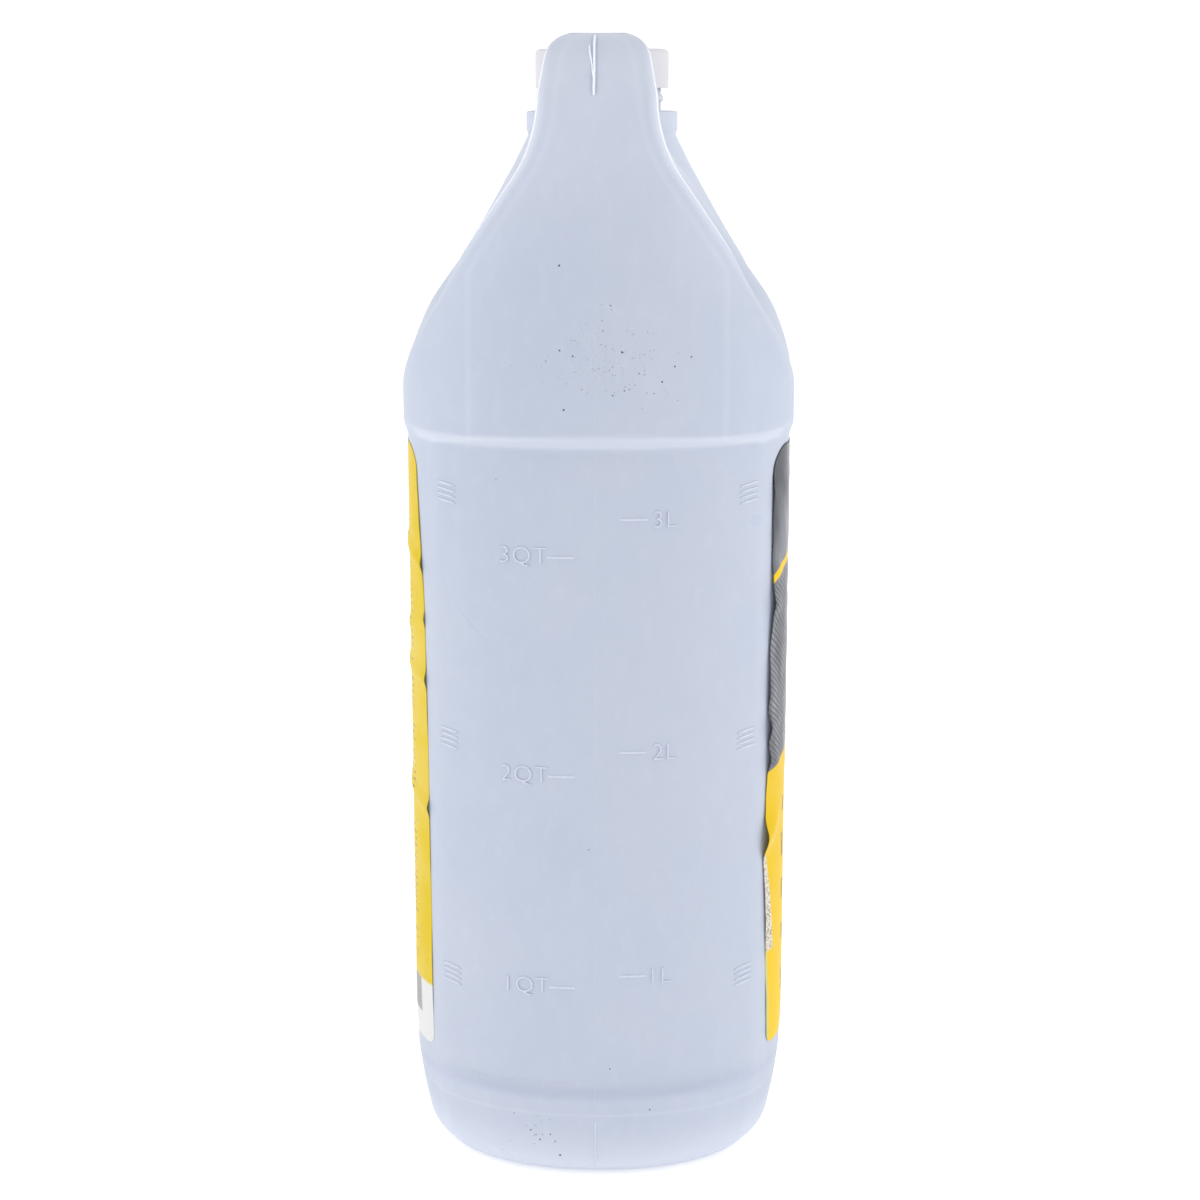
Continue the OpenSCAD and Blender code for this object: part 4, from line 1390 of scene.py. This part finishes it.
class JUG_OT_cap(bpy.types.Operator):
    """Build the screw cap with its inner thread, and dress its liner"""

    bl_idname = "oiljug.cap"
    bl_label = "Cap and liner"

    def execute(self, context):
        cap, neck = context.scene.cap_sizes, context.scene.neck_sizes
        low, high = cap_low, cap_high
        r = (high.x - low.x) / 2 / MM
        bottom, top = low.z / MM, high.z / MM
        w, t, c = cap.wall / MM, cap.top / MM, cap.corner / MM
        arc = [(r - c + c * math.sin(a), top - c + c * math.cos(a)) for a in np.radians(np.linspace(0, 90, 9))]
        profile = [(0, top - t), (r - w - 0.5, top - t), (r - w - 0.1, top - t - 0.1), (r - w, top - t - 0.5)]
        profile += [(r - w, bottom + 0.3), (r - w + 0.2, bottom), (r - 0.25, bottom), (r, bottom + 0.25)]
        profile += arc[::-1] + [(0, top)]
        piece = turned("screw_cap", profile, neck.place / MM, 160)
        finish_piece(piece, "cap", "cap_plastic", _kept["cap"], "cap")
        turns = 1.4
        start = (neck.place, 0.0, low.z + 0.0016)
        ridge = thread("cap_thread", (r - w) * MM, start, turns, neck.pitch, neck.thread_out * 0.8, _kept["cap"])
        finish_piece(ridge, "cap", "cap_plastic", _kept["cap"])
        liner = frame["nodes"]["cap_liner"]
        liner.data.materials.clear()
        liner.data.materials.append(_kept["liner"])
        return {"FINISHED"}


def film(name, side, sizes, form, near_edge, wrinkle, material, slot_name, node):
    """Builds a thin label that follows its panel, with its own folds and lifted places.

    near_edge holds (height, place) of its edge on the handle side, in millimetres.
    """
    cols, rows = 150, 130
    s = np.linspace(0.0, 1.0, cols)
    s = s + 0.55 * (s**2 - s) * (1 - s)
    v = np.linspace(0.0, 1.0, rows)
    low, high, print_low, foot_corner = 29.8, 196.4, 32.6, 3.0
    ss, vv = np.meshgrid(s, v, indexing="ij")
    width = 141.0
    d = np.minimum(ss, 1 - ss) * width
    cut = arc_drop(sizes.corner / MM, np.maximum(0.0, sizes.corner / MM - d))
    foot_cut = arc_drop(foot_corner, np.maximum(0.0, foot_corner - d))
    tall = high - low - cut - foot_cut
    z = low + foot_cut + vv * tall
    start = np.interp(z, *np.array(near_edge).T)
    x = start + (70.0 - start) * ss
    past = np.maximum(0.0, np.abs(x) - 50.0)
    y = side * (52.0 - 7.6 * (past / 20) ** 2)
    points = np.stack([x.ravel(), y.ravel(), z.ravel()], 1)
    points = form.settle(points, 0.12, 5)
    g = form.slope(points)
    g /= np.linalg.norm(g, axis=1)[:, None]
    lift = wrinkle(ss.ravel() * width, z.ravel())
    points = points + g * lift[:, None]
    grid = lambda i, j: i * rows + j
    faces = []
    for i in range(cols - 1):
        for j in range(rows - 1):
            quad = (grid(i, j), grid(i + 1, j), grid(i + 1, j + 1), grid(i, j + 1))
            faces.append(quad if side < 0 else quad[::-1])
    thing = put_mesh(name, points * MM, faces)
    layer = thing.data.uv_layers.new(name="UVMap")
    loops = np.empty(len(thing.data.loops), int)
    thing.data.loops.foreach_get("vertex_index", loops)
    uv = np.stack([ss.ravel(), (z.ravel() - print_low) / (high - print_low)], 1)[loops]
    rim = np.minimum(np.minimum(vv, 1 - vv) * tall, d)
    set_values(thing.data, "from_rim", rim.ravel())
    layer.data.foreach_set("uv", uv.astype(np.float32).ravel())
    solid = thing.modifiers.new("film", "SOLIDIFY")
    solid.thickness = sizes.thickness
    solid.offset = -1.0
    applied(thing)
    thing.data.shade_smooth()
    thing.data.set_sharp_from_angle(angle=math.radians(50))
    finish_piece(thing, "bottle", slot_name, material, node)


def bump_at(s, z, s0, z0, long_s, long_z, height, slant):
    """Rounded bump of a film at (s0, z0), drawn out along a slanted line."""
    zz = z - z0 - slant * (s - s0)
    return height * np.exp(-(((s - s0) / long_s) ** 2) - (zz / long_z) ** 2)


class JUG_OT_front_label(bpy.types.Operator):
    """Build the front label, wrinkled and lifted along its near edge"""

    bl_idname = "oiljug.front_label"
    bl_label = "Front label"

    def execute(self, context):
        sizes = context.scene.label_sizes
        lift = sizes.lift / MM

        def wrinkle(s, z):
            edge = np.exp(-s / 6.0)
            wave = 0.5 + 0.5 * np.sin(z / 4.6 + 0.8 * np.sin(z / 9.0) + 0.10 * s)
            small = 0.5 + 0.5 * np.sin(z / 1.7 + 1.3 * np.sin(z / 5.0))
            calm = 0.35 + 0.65 * ease((z - 95) / 20) * (1 - ease((z - 168) / 12))
            h = lift * edge * (0.36 * wave + 0.20 * small) * calm
            folds = np.abs(np.sin((z + 1.1 * s) / 3.7 + 0.9 * np.sin(z / 6.1)))
            h += lift * np.exp(-s / 13.0) * 0.26 * folds * ease((z - 100) / 10) * (1 - ease((z - 186) / 8))
            for z0, long_s, long_z, height, slant in (
                (90.0, 6.0, 4.2, 1.35, 0.55), (112.0, 7.0, 3.4, 0.50, -0.5), (121.0, 5.0, 4.0, 0.35, 0.3),
                (134.0, 5.0, 5.0, 0.40, -0.3), (154.0, 6.0, 6.0, 0.35, 0.3), (72.0, 4.0, 9.0, 0.30, 0.1),
            ):  # fmt: skip
                h += bump_at(s, z, 0.0, z0, long_s, long_z, height * lift, slant)
            h += 0.05 * np.sin(s / 9.0 + z / 23.0) * np.sin(z / 17.0 + 1)
            return np.maximum(h, 0.0)

        edge_line = [(31, -67.2), (52, -68.0), (70, -69.0), (82, -69.8), (89, -70.6), (98, -69.3), (110, -68.8),
                     (127, -69.1), (140, -68.9), (154, -68.1), (190, -68.0)]  # fmt: skip
        film("front_label_film", -1, sizes, jug_form(), edge_line, wrinkle, _kept["front"], "front_film", "front_label")
        return {"FINISHED"}


class JUG_OT_back_label(bpy.types.Operator):
    """Build the back label, with slight creases"""

    bl_idname = "oiljug.back_label"
    bl_label = "Back label"

    def execute(self, context):
        sizes = context.scene.label_sizes
        lift = sizes.lift / MM

        def wrinkle(s, z):
            edge = np.exp(-s / 14.0)
            h = 0.10 * edge * (1 + np.sin(z / 6.5 + 0.5 * np.sin(z / 3.1)))
            for z0, size, slant in ((165.6, 0.34, 0.35), (149.2, 0.30, -0.25), (133.9, 0.34, 0.2), (98.8, 0.42, 0.3)):
                h += bump_at(s, z, 3.0, z0, 22.0, 1.7, size * lift * 1.2, slant)
            h += 0.05 * np.sin(s / 11.0 - z / 19.0) * np.sin(z / 21.0)
            return np.maximum(h, 0.0)

        edge_line = [(30, -69.0), (98, -68.5), (126, -68.2), (154, -67.6), (170, -66.4), (187, -64.8)]
        film("back_label_film", 1, sizes, jug_form(), edge_line, wrinkle, _kept["back"], "back_film", "back_label")
        return {"FINISHED"}


class JUG_OT_stage(bpy.types.Operator):
    """Build the floor, the backdrop, the soft lights and the camera"""

    bl_idname = "oiljug.stage"
    bl_label = "Stage"

    def execute(self, context):
        stage = context.scene.stage_sizes
        floor_r, flat_r, bend_r, wall_z = 0.8, 2.1, 0.9, 2.2
        self.bowl("studio_floor", floor_white(stage.floor[:], stage.glow), [(floor_r, 0.0)])
        bend = [
            (flat_r + bend_r * math.sin(a), bend_r - bend_r * math.cos(a)) for a in np.radians(np.linspace(0, 90, 9))
        ]
        sweep = [(floor_r, -0.002)] + bend + [(flat_r + bend_r, wall_z)]
        self.bowl("studio_sweep", sweep_white(stage.sweep), sweep)
        world = bpy.data.worlds.new("even_light")
        context.scene.world = world
        world.use_nodes = True
        back = world.node_tree.nodes["Background"]
        back.inputs["Color"].default_value = (1.0, 1.0, 1.0, 1.0)
        back.inputs["Strength"].default_value = stage.world
        for side, name in ((1, "left_light"), (-1, "right_light")):
            self.light(name, (-0.35, side * 1.2, 0.8), (0.0, 0.0, 0.15), 0.5, 1.4, stage.side)
        self.light("top_light", (-0.1, 0.0, 1.5), (0.0, 0.0, 0.1), 0.9, 0.9, stage.top)
        self.camera(context, stage)
        return {"FINISHED"}

    @staticmethod
    def bowl(name, material, profile, steps=64):
        """Round floor, or one that sweeps up into a wall, seen from inside."""
        points, faces = [(0.0, 0.0, 0.0)], []
        for r, z in profile:
            for k in range(steps):
                a = 2 * math.pi * k / steps
                points.append((r * math.cos(a), r * math.sin(a), z))
        for k in range(steps):
            j = (k + 1) % steps
            faces.append((0, 1 + k, 1 + j))
            for i in range(len(profile) - 1):
                low, high = 1 + i * steps, 1 + (i + 1) * steps
                faces.append((low + k, high + k, high + j, low + j))
        thing = put_mesh(name, points, faces)
        thing.data.materials.append(material)

    @staticmethod
    def light(name, place, target, width, height, power):
        data = bpy.data.lights.new(name, "AREA")
        data.shape = "RECTANGLE"
        data.size, data.size_y, data.energy = width, height, power
        lamp = bpy.data.objects.new(name, data)
        lamp.location = place
        lamp.rotation_euler = (Vector(target) - Vector(place)).to_track_quat("-Z", "Y").to_euler()
        bpy.context.scene.collection.objects.link(lamp)

    @staticmethod
    def camera(context, stage):
        data = bpy.data.cameras.new("camera")
        data.lens, data.sensor_width, data.sensor_fit = stage.lens, 36.0, "HORIZONTAL"
        data.clip_start, data.clip_end = 0.01, 50.0
        camera = bpy.data.objects.new("camera", data)
        flat = math.cos(stage.pitch)
        look = Vector((math.cos(stage.yaw) * flat, math.sin(stage.yaw) * flat, -math.sin(stage.pitch)))
        turn = look.to_track_quat("-Z", "Y").to_matrix() @ Matrix.Rotation(stage.roll, 3, "Z")
        camera.matrix_world = Matrix.Translation(stage.camera) @ turn.to_4x4()
        context.scene.collection.objects.link(camera)
        context.scene.camera = camera
        context.scene.view_settings.view_transform = "Standard"


class JUG_PT_panel(bpy.types.Panel):
    """Lists the builders of the jug's pieces"""

    bl_idname = "JUG_PT_panel"
    bl_label = "Oil jug"
    bl_space_type = "VIEW_3D"
    bl_region_type = "UI"
    bl_category = "Oil jug"

    def draw(self, context):
        for builder in BUILDERS:
            self.layout.operator(builder.bl_idname)
        for name in GROUPS:
            box = self.layout.box()
            box.label(text=name.replace("_", " "))
            group = getattr(context.scene, name)
            for key in group.__annotations__:
                box.prop(group, key)


BUILDERS = (
    JUG_OT_shell, JUG_OT_marks, JUG_OT_ribs, JUG_OT_specks, JUG_OT_flash, JUG_OT_neck_thread, JUG_OT_cap,
    JUG_OT_front_label, JUG_OT_back_label, JUG_OT_stage,
)  # fmt: skip
GROUPS = {
    "jug_sizes": JugSizes, "neck_sizes": NeckSizes, "mark_sizes": MarkSizes, "cap_sizes": CapSizes,
    "label_sizes": LabelSizes, "jug_colours": JugColours, "stage_sizes": StageSizes,
}  # fmt: skip


def register():
    for group in GROUPS.values():
        bpy.utils.register_class(group)
    for item in (*BUILDERS, JUG_PT_panel):
        bpy.utils.register_class(item)
    for name, group in GROUPS.items():
        setattr(bpy.types.Scene, name, bpy.props.PointerProperty(type=group))


def unregister():
    for name in GROUPS:
        delattr(bpy.types.Scene, name)
    for item in reversed((*GROUPS.values(), *BUILDERS, JUG_PT_panel)):
        bpy.utils.unregister_class(item)


def main():
    register()
    colours = bpy.context.scene.jug_colours
    _kept.update(
        plastic=jug_plastic(colours), mark=mark_plastic(colours), flash=flash_plastic(),
        dirt=speck_dirt(colours), cap=cap_plastic(colours),
        liner=liner_foam(colours), front=front_film(colours), back=back_film(colours),
    )  # fmt: skip
    bpy.ops.oiljug.shell()
    bpy.ops.oiljug.marks()
    bpy.ops.oiljug.ribs()
    bpy.ops.oiljug.specks()
    bpy.ops.oiljug.flash()
    bpy.ops.oiljug.neck_thread()
    bpy.ops.oiljug.cap()
    bpy.ops.oiljug.front_label()
    bpy.ops.oiljug.back_label()
    bpy.ops.oiljug.stage()


if __name__ == "__main__":
    main()
